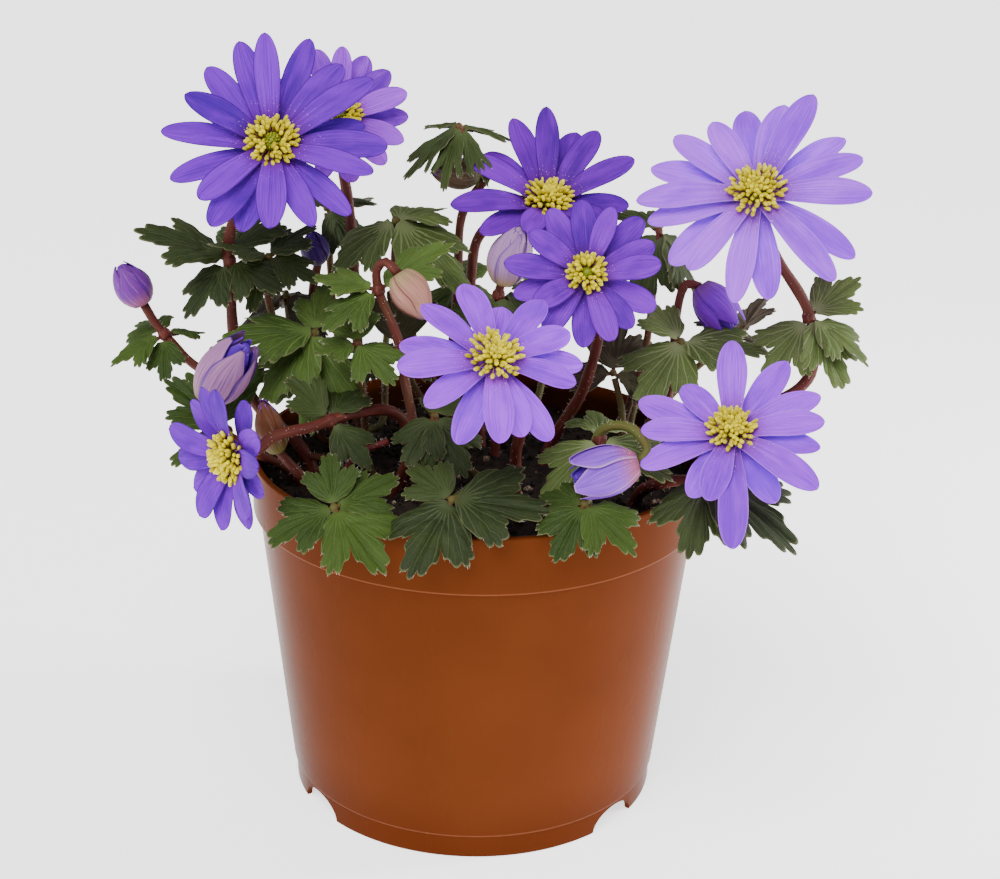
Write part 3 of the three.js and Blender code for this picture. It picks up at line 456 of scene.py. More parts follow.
# Azimuth 0 looks from the plant to the front, 90 to the right. A bloom's tilt is how far its face looks up,
# and its cup how far the petals rise from flat. A petal is (angle anticlockwise from the right, reach).
BLOOMS = [
    dict(name="bloom_high_left", tuber="left", centre=(-48.3, -4, 162.3), azimuth=9, tilt=41, cup=14,
         width=7.4,
         stem=((-42, 1, 84), (-55, 4, 97), (-59, 4, 110), (-60, 4, 125), (-60, 4.5, 138), (-55, 4, 151)),
         petals=((28, 27.5), (48, 25), (69, 28), (93, 26), (106, 25.5), (128, 24), (152, 22.5), (176, 25.5),
                 (203, 25.5), (225, 25.5), (238, 28), (250, 25), (267, 26), (288, 24.5), (311, 26),
                 (331, 26), (353, 27), (10, 22))),
    dict(name="bloom_behind_left", tuber="left", centre=(-35, 18, 164), azimuth=10, tilt=34, cup=14,
         width=6.4, stem=((-29, 14, 86), (-31, 20, 110), (-33, 25, 140), (-35, 25, 152)),
         petals=((16, 17.5), (40, 17), (62, 17.5), (84, 17), (108, 17.5), (132, 17), (156, 17.5), (180, 17),
                 (204, 17.5), (228, 17), (252, 17.5), (276, 17), (306, 17.5), (336, 17), (357, 17))),
    dict(name="bloom_back_middle", tuber="middle", centre=(15.4, 15, 144.8), azimuth=13, tilt=55, cup=20,
         width=7.4, stem=((0, 20, 84), (-4, 23, 100), (-3, 24, 119), (-1, 24, 134), (6, 22, 140)),
         petals=((13, 23.5), (49, 23.5), (62, 22.5), (85, 24.5), (105, 23.5), (133, 20), (156, 23.5),
                 (190, 27), (211, 23), (238, 18), (262, 17), (288, 17), (314, 18), (340, 20))),
    dict(name="bloom_middle", tuber="middle", centre=(24.4, -15, 136.3), azimuth=-2, tilt=32, cup=12,
         width=6.4, stem=((18, 8, 86), (25, 2, 102), (28, -5, 120), (26, -10, 130)),
         petals=((5, 17.3), (25, 17), (49, 18.5), (71, 16.5), (95, 17.5), (122, 18), (147, 16.5),
                 (175, 19.5), (198, 17.5), (216, 15), (237, 17.5), (269, 17.3), (290, 18), (310, 16.5),
                 (335, 17.5))),
    dict(name="bloom_front_middle", tuber="middle", centre=(3.4, -46, 125.9), azimuth=18, tilt=52, cup=-4,
         width=7.2, stem=((9, -20, 84), (9, -27, 97), (10, -32, 108), (6, -38, 117)),
         petals=((14, 19.5), (44, 23), (68, 17), (94, 20.7), (127, 20.7), (155, 20.6), (181, 21.5),
                 (207, 19), (238, 20.5), (260, 21), (280, 18.5), (296, 21), (335, 18.5), (355, 20.8))),
    dict(name="bloom_high_right", tuber="right", centre=(62.8, -8, 154), azimuth=-12, tilt=46, cup=-3,
         width=7.8,
         stem=((44, -4, 84), (54, -4, 93.5), (68, -5, 101), (78, -6, 109), (79, -6, 119), (76, -6.5, 128),
               (68, -6, 140)),
         petals=((4, 26), (30, 26.5), (48, 27.5), (70, 29), (84, 26.5), (102, 26.5), (125, 22), (146, 25.8),
                 (163, 27.5), (187, 27.5), (200, 25.5), (222, 25), (239, 24.5), (264, 27), (283, 25.5),
                 (312, 28.5), (331, 27))),
    dict(name="bloom_front_right", tuber="right", centre=(56.1, -44, 109.3), azimuth=-8, tilt=52, cup=8,
         width=7.4, stem=((38, -18, 83), (44, -30, 92), (51, -38, 96.5), (55, -40.5, 101)),
         petals=((8, 20.5), (30, 21.6), (59, 22.8), (93, 21.7), (137, 16), (164, 22), (190, 20), (210, 22),
                 (244, 18), (259, 20), (276, 31), (303, 19.5), (322, 24.5), (350, 20))),
    dict(name="bloom_front_left", tuber="left", centre=(-53.3, -42, 101.3), azimuth=-45, tilt=3, cup=16,
         width=7.2,
         stem=((-17, -9, 84), (-17, -11, 97), (-21, -14, 102), (-30, -20, 103), (-38, -27, 102.5),
               (-46, -35, 103)),
         petals=((10, 15.5), (34, 17), (62, 17), (88, 17.5), (118, 17), (148, 17), (172, 17.5), (196, 17.5),
                 (222, 17), (247, 17), (270, 17.5), (296, 17), (321, 17), (345, 15.5))),
]
# A bud's axis runs from base to tip.
BUDS = [
    dict(name="bud_left", tuber="left", base=(-82, 8, 120.5), tip=(-87, 7, 130.5), width=8.2,
         stem=((-44, 5, 84), (-58, 6, 98), (-70, 5, 106), (-74, 6.5, 109.5), (-79, 8, 115))),
    dict(name="bud_half_open_left", tuber="left", base=(-63, -20, 107), tip=(-52, -23, 121.5), width=11.5,
         stem=((-44, -9, 83), (-54, -15, 92), (-62, -18, 100))),
    dict(name="bud_nodding_middle", tuber="left", base=(-18.5, -15, 135.5), tip=(-11.5, -18.5, 126),
         width=8.2,
         stem=((-19, -13, 83), (-15, -17, 96), (-17, -15, 109), (-19, -14, 120), (-23.5, -12, 131),
               (-23.8, -12.3, 136), (-21.8, -13.3, 138.2))),
    dict(name="bud_back_middle", tuber="middle", base=(-2, 18.5, 151), tip=(-12.5, 13, 153), width=6.8,
         stem=((-5, 18, 84), (-7, 20, 104), (-6, 20, 123), (-5, 20, 141), (-1, 19, 148), (1, 19, 150.5))),
    dict(name="bud_large_middle", tuber="middle", base=(5, 4, 129.5), tip=(9.5, -1, 144), width=9.6,
         stem=((4, 12, 86), (2, 10, 104), (3, 7, 118))),
    dict(name="bud_half_open_front", tuber="right", base=(35, -50, 104.5), tip=(20.5, -52, 101), width=10.5,
         stem=((26, -26, 84), (26, -37, 98), (28, -40, 108.5), (34, -44, 110.5), (37.5, -48.5, 107))),
    dict(name="bud_dark_left", tuber="left", base=(-40.5, 21, 128), tip=(-42, 18, 136), width=6.4,
         stem=((-35, 10, 86), (-42, 18, 108), (-42, 21, 120))),
    dict(name="bud_nodding_right", tuber="right", base=(53, 8, 127), tip=(61, 3, 118), width=9.4,
         stem=((43, 3, 85), (47, 7, 104), (47.5, 9, 120), (49.5, 9, 127.5))),
    dict(name="bud_low_left", tuber="left", base=(-46, -27, 97), tip=(-49, -30, 110), width=6.2,
         stem=((-33, -20, 83), (-40, -25, 89))),
]
# A leaf's leaflets spread from its centre to their tips. One with no stalk sits as a ring on a flower stem.
# Broad is a leaflet's width over its length.
LEAVES = [
    dict(name="leaf_high_left", tone="dark", ring=True, centre=(-60, 4.2, 132.5), broad=1.05,
         tips=((-80, 1.5, 143), (-70, -7, 123), (-54.5, 19.5, 144.5), (-46.5, -6, 129.5))),
    dict(name="leaf_star_left", tone="dark", tuber="left", centre=(-51, 6, 133), broad=0.97,
         stalk=((-38, 6, 86), (-48, 10, 108), (-52, 9, 124)),
         tips=((-63.5, 0.5, 139.5), (-41, 12.5, 141), (-37.5, 1.5, 129.5), (-55.5, -4, 123))),
    dict(name="leaf_dark_left", tone="bronze", tuber="left", centre=(-48, 15, 121), broad=0.95,
         stalk=((-37, 14, 86), (-46, 17, 104)), tips=((-37, 12, 111), (-62, 14.5, 112.5), (-48, 29, 114))),
    dict(name="leaf_mid_left", tone="bright", tuber="left", centre=(-39, -5, 118), broad=1,
         stalk=((-32, -4, 86), (-35, -2, 104)),
         tips=((-61, -11.5, 121), (-51.5, -18.5, 106), (-39.5, -21, 99), (-38, 6, 128))),
    dict(name="leaf_star_middle", tone="bright", tuber="left", centre=(-28, -17, 119.5), broad=1.08,
         stalk=((-25, -12, 85), (-27, -13, 104)),
         tips=((-37.5, -22, 119.5), (-19, -26.5, 114.5), (-31, -6.5, 127))),
    dict(name="leaf_nodding_bud", tone="bright", ring=True, centre=(-24, -12, 131), broad=0.8,
         tips=((-38.5, -12, 135.5), (-36, -23.5, 126), (-8, -6, 142.5))),
    dict(name="leaf_top_middle", tone="pale", tuber="middle", centre=(-21, 12, 141), broad=1.05,
         stalk=((-5, 14, 86), (-16, 17, 108), (-21, 15, 126)),
         tips=((-37.5, 5, 131), (-1, 3, 128), (-10, 25.5, 143))),
    dict(name="leaf_behind_left", tone="dark", tuber="left", centre=(-39, 30, 139), broad=0.97,
         stalk=((-31, 19, 86), (-37, 27, 110)),
         tips=((-30, 24.5, 126.5), (-48, 35.5, 144.5), (-29, 43.5, 140))),
    dict(name="leaf_arching_back", tone="dark", tuber="middle", centre=(-6, 17, 163), broad=0.45,
         finger=True, stalk=((-1, 19, 148), (-2, 19, 156)), branch=True,
         tips=((-20, 8, 154), (-10, 4, 152), (2, 8, 152), (7, 25, 160), (-15, 28, 162))),
    dict(name="leaf_back_middle", tone="fresh", tuber="middle", centre=(-4, 30, 120), broad=1.03,
         stalk=((-3, 24, 90), (-6, 30, 106)), tips=((-20, 25, 111), (10, 33, 110.5), (-8.5, 46.5, 124.5))),
    dict(name="leaf_large_bud", tone="dark", ring=True, centre=(4, 5, 125), broad=1,
         tips=((-7, -3, 118.5), (16.5, 8.5, 120.5), (8.5, -8.5, 115))),
    dict(name="leaf_behind_right", tone="dark", tuber="right", centre=(43, 18, 138), broad=1,
         stalk=((36, 8, 86), (41, 17, 108)), tips=((37.5, 9, 121), (55.5, 16, 123.5), (35, 31.5, 142.5))),
    dict(name="leaf_broad_right", tone="pale", tuber="right", centre=(48, -2, 116.5), broad=1.08,
         stalk=((38, -4, 85), (44, -1, 102)), tips=((39, 4.5, 126), (67, -10, 119.5), (38, -16.5, 107))),
    dict(name="leaf_back_right", tone="bronze", tuber="right", centre=(64, 18, 112), broad=1,
         stalk=((40, 6, 86), (51, 15, 101)),
         tips=((68.5, 14.5, 124.5), (75, 24.5, 105.5), (57.5, 32.5, 113))),
    dict(name="leaf_high_right", tone="pale", ring=True, centre=(77.5, -6, 125), broad=1.05,
         tips=((67, -13, 112), (86, -19, 113), (89, -1, 134), (91.5, -14, 118))),
    dict(name="leaf_front_right", tone="dark", ring=True, centre=(51.5, -38.2, 97), broad=1,
         tips=((47.5, -57, 87), (72, -51.5, 88), (61, -24.5, 96))),
    dict(name="leaf_half_open_front", tone="pale", ring=True, centre=(27.6, -39.6, 106), broad=0.97,
         tips=((14.5, -47, 95), (43.5, -47, 101.5), (27, -23, 108))),
    dict(name="leaf_rim_right", tone="fresh", tuber="right", centre=(24, -54, 96.5), broad=1.05,
         stalk=((26, -32, 84), (25, -43, 94)), tips=((17.5, -65, 88), (35, -64, 90.5), (14, -48.5, 97))),
    dict(name="leaf_rim_middle", tone="dark", tuber="middle", centre=(-5, -50, 95), broad=1.08,
         stalk=((2, -24, 84), (-2, -38, 92)), tips=((-15, -42, 101), (-14, -66, 85), (16, -56, 97))),
    dict(name="leaf_rim_left", tone="fresh", tuber="left", centre=(-31, -50, 92.5), broad=1.05,
         stalk=((-27, -20, 84), (-28, -37, 92.5)),
         tips=((-33, -42, 103), (-17, -44, 99), (-19, -64, 85), (-46, -55, 87.5))),
    dict(name="leaf_front_left", tone="dark", ring=True, centre=(-34, -23.5, 102.8), broad=0.97,
         tips=((-24, -31, 95), (-43.5, -21, 113), (-28, -12, 109.5))),
    dict(name="leaf_under_bloom", tone="dark", tuber="middle", centre=(-10, -22, 104), broad=1.08,
         stalk=((-2, -8, 85), (-8, -16, 97)), tips=((-2, -32, 94), (-16.5, -32, 96), (-4.5, -8.5, 106))),
    dict(name="leaf_bud_left", tone="fresh", ring=True, centre=(-76.8, 7.3, 112.6), broad=0.97,
         tips=((-89.5, 1, 108), (-76, -2, 104), (-68, 14, 112), (-86, 20, 113))),
    dict(name="leaf_half_open_left", tone="fresh", ring=True, centre=(-59.2, -16.9, 97.2), broad=1,
         tips=((-72.5, -13.5, 109.5), (-62.5, -4.5, 116), (-71.5, -25, 93.5))),
    dict(name="leaf_back_low", tone="dark", tuber="left", centre=(-24, 48, 108), broad=1.03,
         stalk=((-25, 22, 85), (-25, 38, 100)), tips=((-40, 54, 103), (-22, 71.5, 97), (-8, 54, 106))),
    dict(name="leaf_back_high", tone="fresh", tuber="middle", centre=(20, 46, 118), broad=1.03,
         stalk=((12, 24, 86), (18, 40, 106)), tips=((6, 54, 114), (24, 68, 108), (35, 48, 118))),
    dict(name="leaf_back_rim", tone="fresh", tuber="right", centre=(44, 44, 100), broad=0.97,
         stalk=((38, 14, 85), (42, 33, 96)), tips=((32, 55, 96), (55, 57, 92), (59, 38, 101))),
    dict(name="leaf_low_left", tone="dark", tuber="left", centre=(-41, 9, 104), broad=1.03,
         stalk=((-35, 5, 86), (-39, 7, 96)), tips=((-58, 6, 103), (-24, 14, 103))),
    dict(name="leaf_low_middle", tone="bronze", tuber="middle", centre=(-20, 10, 110), broad=1.08,
         stalk=((-7, 10, 86), (-16, 10, 99)), tips=((-36, 7, 105), (-20, 17, 126), (-4, 5, 106))),
    dict(name="leaf_low_right", tone="bronze", tuber="right", centre=(33, 13, 103), broad=1.03,
         stalk=((37, 6, 86), (35, 10, 96)), tips=((17, 12, 103), (47, 10, 98), (34, 24, 116))),
]
# A young shoot with no leaf yet.
SHOOT = ((-32, -17, 85), (-28, -17, 92), (-21, -16, 95))


def facing(azimuth, tilt):
    a, t = math.radians(azimuth), math.radians(tilt)
    return Vector((math.sin(a) * math.cos(t), -math.cos(a) * math.cos(t), math.sin(t)))


def on_ball(slope, turn):
    """The direction that leans by slope from straight up, at a turn round it."""
    return Vector((math.sin(slope) * math.cos(turn), math.sin(slope) * math.sin(turn), math.cos(slope)))


def root_of(tuber, exit_point):
    """A stem leaves the tuber below the place where it comes out of the soil."""
    start = Vector(TUBERS[tuber])
    out = Vector((exit_point[0], exit_point[1], start.z)) - start
    return start + out * min(0.8, 9 / out.length)


def stems_of(tuber):
    """The flower stems, bud stems and the young shoot of a tuber, as [points, radius, how green]."""
    stems = []
    for bloom in [b for b in BLOOMS if b["tuber"] == tuber]:
        face = facing(bloom["azimuth"], bloom["tilt"])
        neck = Vector(bloom["centre"]) - face * (HUB_HEIGHT / 2 + GAP)
        points = [root_of(tuber, bloom["stem"][0]), *map(Vector, bloom["stem"]), neck - face * 4, neck]
        stems.append([points, FLOWER_STEM, 0.1])
    for bud in [b for b in BUDS if b["tuber"] == tuber]:
        axis = (Vector(bud["tip"]) - Vector(bud["base"])).normalized()
        points = [root_of(tuber, bud["stem"][0]), *map(Vector, bud["stem"]), Vector(bud["base"]) - axis * GAP]
        stems.append([points, BUD_STEM, 0.85 if bud["name"] == YOUNG_BUD else 0.2])
    if tuber == "left":
        stems.append([[root_of(tuber, SHOOT[0]), *map(Vector, SHOOT)], LEAF_STALK, -0.4])
    return stems


def stalks_of(tuber):
    """The leaf stalks of a tuber, from the foot of the nearest flower stem to just under the leaf."""
    feet = [points[1] for points, _, _ in stems_of(tuber)]
    stalks = []
    for leaf in [n for n in LEAVES if n.get("tuber") == tuber]:
        points = [Vector(p) for p in leaf["stalk"]]
        end = Vector(leaf["centre"])
        points.append(end - (end - points[-1]).normalized() * (LEAF_HUB_HEIGHT / 2 + GAP))
        if not leaf.get("branch"):
            points.insert(0, min(feet, key=lambda foot: (foot - points[0]).length))
        stalks.append([points, LEAF_STALK, 0.3 + 0.6 * draw(leaf["centre"][0], 1)])
    return stalks


def smooth_route(points, spacing=1.5):
    """A smooth curve through all the points, in short steps."""
    points = [Vector(p) for p in points]
    ends = [2 * points[0] - points[1], *points, 2 * points[-1] - points[-2]]
    route = [points[0].copy()]
    for p0, p1, p2, p3 in zip(ends, ends[1:], ends[2:], ends[3:]):
        t0, t1 = 0.0, (p1 - p0).length ** 0.5
        t2 = t1 + (p2 - p1).length ** 0.5
        t3 = t2 + (p3 - p2).length ** 0.5
        count = max(2, int((p2 - p1).length / spacing))
        for k in range(1, count + 1):
            t = t1 + (t2 - t1) * k / count
            a = p0.lerp(p1, (t - t0) / (t1 - t0))
            b = p1.lerp(p2, (t - t1) / (t2 - t1))
            c = p2.lerp(p3, (t - t2) / (t3 - t2))
            early = a.lerp(b, (t - t0) / (t2 - t0))
            late = b.lerp(c, (t - t1) / (t3 - t1))
            route.append(early.lerp(late, (t - t1) / (t2 - t1)))
    return route


def tube(shape, route, radii, sides=12, tint=0.0, under=0.0, finish=0):
    """A round closed tube along a route, with a radius for each of its points."""
    across = (route[1] - route[0]).normalized().orthogonal().normalized()
    turns = np.arange(sides) * FULL_TURN / sides
    points, places = [], []
    length = 0.0
    for i, here in enumerate(route):
        way = (route[min(i + 1, len(route) - 1)] - route[max(i - 1, 0)]).normalized()
        across = (across - way * across.dot(way)).normalized()
        length += (here - route[i - 1]).length if i else 0.0
        ring = np.outer(np.cos(turns), across) + np.outer(np.sin(turns), way.cross(across))
        points.append(np.array(here) + ring * radii[i])
        places.append(np.stack([turns / FULL_TURN, np.full(sides, length / 10)], axis=1))
    points = np.concatenate([*points, [route[0], route[-1]]])
    places = np.concatenate([*places, np.zeros((2, 2))])
    shape.add(points, capped(len(route), sides), places, tint, under, finish=finish)


def hair(shape, root, tip, width, finish):
    """One hair: a thin three-sided spike."""
    way = (tip - root).normalized()
    across = way.orthogonal().normalized()
    other = way.cross(across)
    corners = (0, FULL_TURN / 3, FULL_TURN * 2 / 3)
    ring = [root + (across * math.cos(a) + other * math.sin(a)) * width for a in corners]
    faces = np.array([[0, 1, 3], [1, 2, 3], [2, 0, 3], [2, 1, 0]])
    shape.add([*ring, tip], faces, finish=finish)


def downy(shape, route, radius, count, seed, finish):
    """Fine hairs that stand out all round a stem, above the soil."""
    for i in range(count):
        t = draw(seed, i) * (len(route) - 1)
        k = min(int(t), len(route) - 2)
        here = route[k].lerp(route[k + 1], t - k)
        if here.z < SOIL_TOP + 1:
            continue
        way = (route[k + 1] - route[k]).normalized()
        out = Matrix.Rotation(FULL_TURN * draw(seed + 1, i), 3, way) @ way.orthogonal().normalized()
        lean = (out + way * (0.8 * draw(seed + 2, i) - 0.2)).normalized()
        length = STEM_HAIR * (0.5 + draw(seed + 3, i))
        hair(shape, here + out * radius * 0.9, here + out * radius + lean * length, HAIR_WIDTH, finish)


skin, tree, shader = new_material("stem_skin", roughness=0.6, specular_ior_level=0.2)
place = add(tree, "ShaderNodeUVMap", uv_map="place").outputs[0]
streak = noise_on(tree, place, (14, 1.2, 1))
patch = times(tree, calc(tree, "SUBTRACT", object_noise(tree, 0.09), 0.5), 1.1)
green = calc(tree, "ADD", mark(tree, "tint"), patch)
colour = blend(tree, step(tree, green, 0.15, 0.95), "#4c1e16", "#4c5220")
colour = blend(tree, step(tree, green, 0.1, -0.5), colour, "#581e1e")
colour = laid(tree, colour, "#7c4636", step(tree, streak, 0.5, 0.75), 0.5)
finish_with(tree, shader, colour, relief(tree, streak, strength=0.35, distance=0.2))
bark, tree, shader = new_material("tuber_skin", roughness=0.85)
rough = object_noise(tree, 0.8, detail=5)
brown = blend(tree, rough, "#1d1511", "#4a3527")
finish_with(tree, shader, brown, relief(tree, rough, strength=0.8, distance=0.6))
down, tree, shader = new_material("fine_down", roughness=0.6, sheen_weight=0.4)
finish_with(tree, shader, blend(tree, object_noise(tree, 0.2), "#d8cdbd", "#f4efe6"))

for tuber, middle in TUBERS.items():
    plant = Shape()
    heart, pole = Vector(middle), Vector((0, 0, TUBER_POLE))
    lump = []
    for i in range(TUBER_ROWS):
        for j in range(TUBER_SIDES):
            way = on_ball(math.pi * (1 - (i + 0.5) / TUBER_ROWS), FULL_TURN * j / TUBER_SIDES)
            swell = 0.93 + 0.1 * noise.noise(way * 2.2 + heart)
            lump.append(heart + Vector(TUBER_SIZE) * way * swell)
    lump += [heart - pole, heart + pole]
    plant.add(lump, capped(TUBER_ROWS, TUBER_SIDES), finish=1)
    for k, (points, radius, green) in enumerate(stems_of(tuber) + stalks_of(tuber)):
        route = smooth_route(points)
        n = len(route)
        seed = middle[0] + 3.7 * k
        radii = [radius * (1.12 - 0.2 * i / n + 0.05 * math.sin(i * 0.9 + seed)) for i in range(n)]
        tube(plant, route, radii, tint=green)
        downy(plant, route, radius, int(HAIRS_A_STEP * n), seed, finish=2)
    fasten(plant.build(f"tuber_and_stems_{tuber}", skin, bark, down), "stems", f"tuber_{tuber}")


# The leaves
# Each leaf is cut into two to five leaflets that spread from a knot on its stalk, or in a ring on a flower
# stem. A leaflet has three lobes with rounded teeth, sunk veins that fan out into the teeth, and a pale
# downy margin.
BROAD_LOBES = dict(spread=56, side=0.88, shoulder=(0.68, 0.26), low=0.22, cut=0.36)
FINGER_LOBES = dict(spread=30, side=0.8, shoulder=(0.66, 0.13), low=0.1, cut=0.3)
LEAFLET_RINGS = (0.14, 0.28, 0.42, 0.55, 0.67, 0.78, 0.88, 0.95, 1.0)
MIDRIB_POINT = 0.2
VEIN_ROOT = 0.02
VEIN_STEP = 14.0
VEIN_WIDTH = 0.011
LEAF_DROOP = 0.16
LEAFLET_STALK = (0.62, 0.55, 0.45, 0.35, 0.3, 0.25, 0.2)
MARGIN_HAIR = 0.045
HAIRS_A_MM = 1.1
RING_KNOT = dict(radius=1.65, depth=1.3, sunk=1.95, tint=0.1)
STALK_KNOT = dict(radius=0.95, depth=0.85, sunk=1.1, tint=0.6)
LEAF_TONES = {
    # light, dark, the veins, the back, how much the veins show and how wide they are
    "bright": ("#465a20", "#2c3e12", "#6e8844", "#4c5c30", 0.35, VEIN_WIDTH),
    "fresh": ("#364a12", "#20300a", "#5c7034", "#465230", 0.3, VEIN_WIDTH),
    "dark": ("#303c16", "#1a240a", "#525e38", "#3e4428", 0.35, VEIN_WIDTH),
    "pale": ("#4e5e2a", "#303f16", "#8a9464", "#5c5e40", 0.42, 0.013),
    "bronze": ("#30301a", "#24140e", "#544c34", "#341a16", 0.3, VEIN_WIDTH),
}


def outline_of(lobes, seed, fine):
    """A leaflet's margin in shares of its length, from the right of its foot round to the left: rounded
    teeth with sharp notches between them, on the three lobes that the leaf is cut into."""
    body = 1 - MIDRIB_POINT
    reach, slope = math.hypot(*lobes["shoulder"]), math.degrees(math.atan2(*reversed(lobes["shoulder"])))
    low = math.degrees(math.atan2(lobes["low"], lobes["shoulder"][0]))
    keys = []
    for k, angle in enumerate((lobes["spread"], 0, -lobes["spread"])):
        size = body * (1 if k == 1 else lobes["side"])
        first, final = (low if k == 0 else slope), (low if k == 2 else slope)
        lobe = [(first, reach, 1), (first * 0.74, 0.77, 0), (first * 0.46, 0.94, 1), (first * 0.22, 0.88, 0),
                (0, 1, 1), (-final * 0.22, 0.88, 0), (-final * 0.46, 0.94, 1), (-final * 0.74, 0.77, 0),
                (-final, reach, 1)]
        for j, (turn, share, tooth) in enumerate(lobe):
            wild = (0.07 if tooth else 0.05) * (draw(seed, 31 * k + j) - 0.5)
            keys.append((angle + turn, size * share * (1 + wild), tooth))
        if k < 2:
            keys.append((angle - lobes["spread"] / 2, lobes["cut"], 0))

    def place(angle, reach):
        return (reach * math.sin(math.radians(angle)), MIDRIB_POINT + reach * math.cos(math.radians(angle)))

    foot, start = Vector((0.06, 0)), Vector(place(*keys[0][:2]))
    bulge = Vector((start.y - foot.y, foot.x - start.x)) * 0.1
    side = [tuple(foot.lerp(start, t) + bulge * math.sin(math.pi * t)) for t in np.linspace(0, 1, 6)[:-1]]
    ring = list(side)
    for (a0, r0, tooth), (a1, r1, _) in zip(keys, keys[1:]):
        for t in np.arange(fine) / fine:
            share = t ** 2.6 if tooth else 1 - (1 - t) ** 2.6
            ring.append(place(a0 + (a1 - a0) * t, r0 + (r1 - r0) * share))
    ring.append(place(*keys[-1][:2]))
    ring += [(-x, y) for x, y in reversed(side)]
    return np.array(ring)


def rib_distance(x, y, lobes):
    """How far a place on a leaflet is from the nearest of its three main veins."""
    best = np.full(x.shape, np.inf)
    for k, angle in enumerate((lobes["spread"], 0, -lobes["spread"])):
        turn = math.radians(angle)
        size = (1 - MIDRIB_POINT) * (1 if k == 1 else lobes["side"])
        along = np.clip(x * math.sin(turn) + (y - MIDRIB_POINT) * math.cos(turn), 0, size * 0.95)
        away = np.hypot(x - along * math.sin(turn), y - MIDRIB_POINT - along * math.cos(turn))
        best = np.minimum(best, away)
    return best


def frame_along(root, tip, face):
    """A lengthwise frame: Y along the piece, Z out of its face."""
    y = (tip - root).normalized()
    x = y.cross(face).normalized()
    return np.array([x, y, x.cross(y)])


def margin_quads(loop, apart):
    """The narrow quads between a closed loop of points and the loop on the back, apart points later."""
    following = np.roll(loop, -1)
    return np.stack([following, loop, loop + apart, following + apart], axis=1)


def leaflet(shape, root, tip, face, broad, lobes, seed):
    """One lobed leaflet as a thin closed sheet: rings of points from the heart of its veins out to the
    margin. Returns its heart."""
    length = (tip - root).length
    margin = outline_of(lobes, seed, fine=4)
    widest = 2 * (1 - MIDRIB_POINT) * lobes["side"] * math.sin(math.radians(lobes["spread"]))
    across = length * broad / max(widest, 0.3)
    shares = np.array(LEAFLET_RINGS)[:, None]
    heart = np.array([0, MIDRIB_POINT])
    flat = heart + (margin - heart)[None, :, :] * shares[:, :, None]
    x, y = flat[..., 0], flat[..., 1]
    share = np.broadcast_to(shares, x.shape)
    turn = np.arctan2(x, y - MIDRIB_POINT)
    wave = 0.028 * share ** 3 * np.sin(3.1 * turn + FULL_TURN * draw(seed, 1))
    wave += 0.022 * share ** 4 * np.sin(8.3 * turn + FULL_TURN * draw(seed, 2))
    droop = LEAF_DROOP * y ** 2 + (0.05 + 0.1 * draw(seed, 3)) * share ** 2 * x ** 2 / 0.3
    vein = np.exp(-(rib_distance(x, y, lobes) / 0.04) ** 2) * np.clip(1.25 - share, 0, 1)
    veins_apart = np.degrees(np.arctan2(x, y - VEIN_ROOT)) / VEIN_STEP
    quilt = 0.006 * np.cos(FULL_TURN * veins_apart) * np.sin(math.pi * share ** 0.8)
    z = 0.1 * np.abs(x) + wave - droop - 0.025 * vein - quilt
    half = (0.28 * (1 - 0.6 * share ** 2) + 0.16 * vein) / length
    basis = frame_along(root, tip, face)

    def placed(height):
        return np.array(root) + np.stack([x * across, y * length, height * length], axis=-1) @ basis

    middle = np.array([0, MIDRIB_POINT, -LEAF_DROOP * MIDRIB_POINT ** 2 - 0.03]) * length
    rows, columns = x.shape
    n = rows * columns + 1
    places = np.concatenate([[heart], flat.reshape(-1, 2)]) + (0.5, 0)
    rims = np.concatenate([[0], share.ravel()])
    rings = grid(rows, columns, 1, closed=True)[:, [0, 3, 2, 1]]
    start, tint = shape.count, draw(seed, 4)
    for side, under in ((1, 0.0), (-1, 1.0)):
        centre = np.array(root) + (middle + (0, 0, 0.3 * side)) @ basis
        points = np.concatenate([[centre], placed(z + half * side).reshape(-1, 3)])
        faces = [fan(0, 1, columns)[:, ::side], rings[:, ::side]]
        shape.add(points, faces, places, tint, under, rims)
    shape.join(margin_quads(start + n - columns + np.arange(columns), n), finish=0)
    outer, inner = placed(z)[-1], placed(z)[-3]
    for i in range(int(HAIRS_A_MM * length)):
        k = 6 + int(draw(seed + 5, i) * (columns - 12))
        spot = Vector(outer[k])
        out = Vector(outer[k] - inner[k]).normalized() + face * 0.5 * (draw(seed + 6, i) - 0.4)
        hair(shape, spot - out * 0.15, spot + out * (0.35 + 0.5 * draw(seed + 7, i)), MARGIN_HAIR, finish=2)
    return Vector(np.array(root) + middle @ basis)


def stem_at(place):
    """The point of a stem that is nearest to a place, and the way the stem runs there."""
    best = (math.inf, None, None)
    for tuber in TUBERS:
        for points, _, _ in stems_of(tuber):
            for low, high in zip(points, points[1:]):
                run = high - low
                share = max(0.0, min(1.0, (place - low).dot(run) / run.length_squared))
                spot = low + run * share
                best = min(best, ((place - spot).length, spot, run.normalized()), key=lambda entry: entry[0])
    return best[1], best[2]


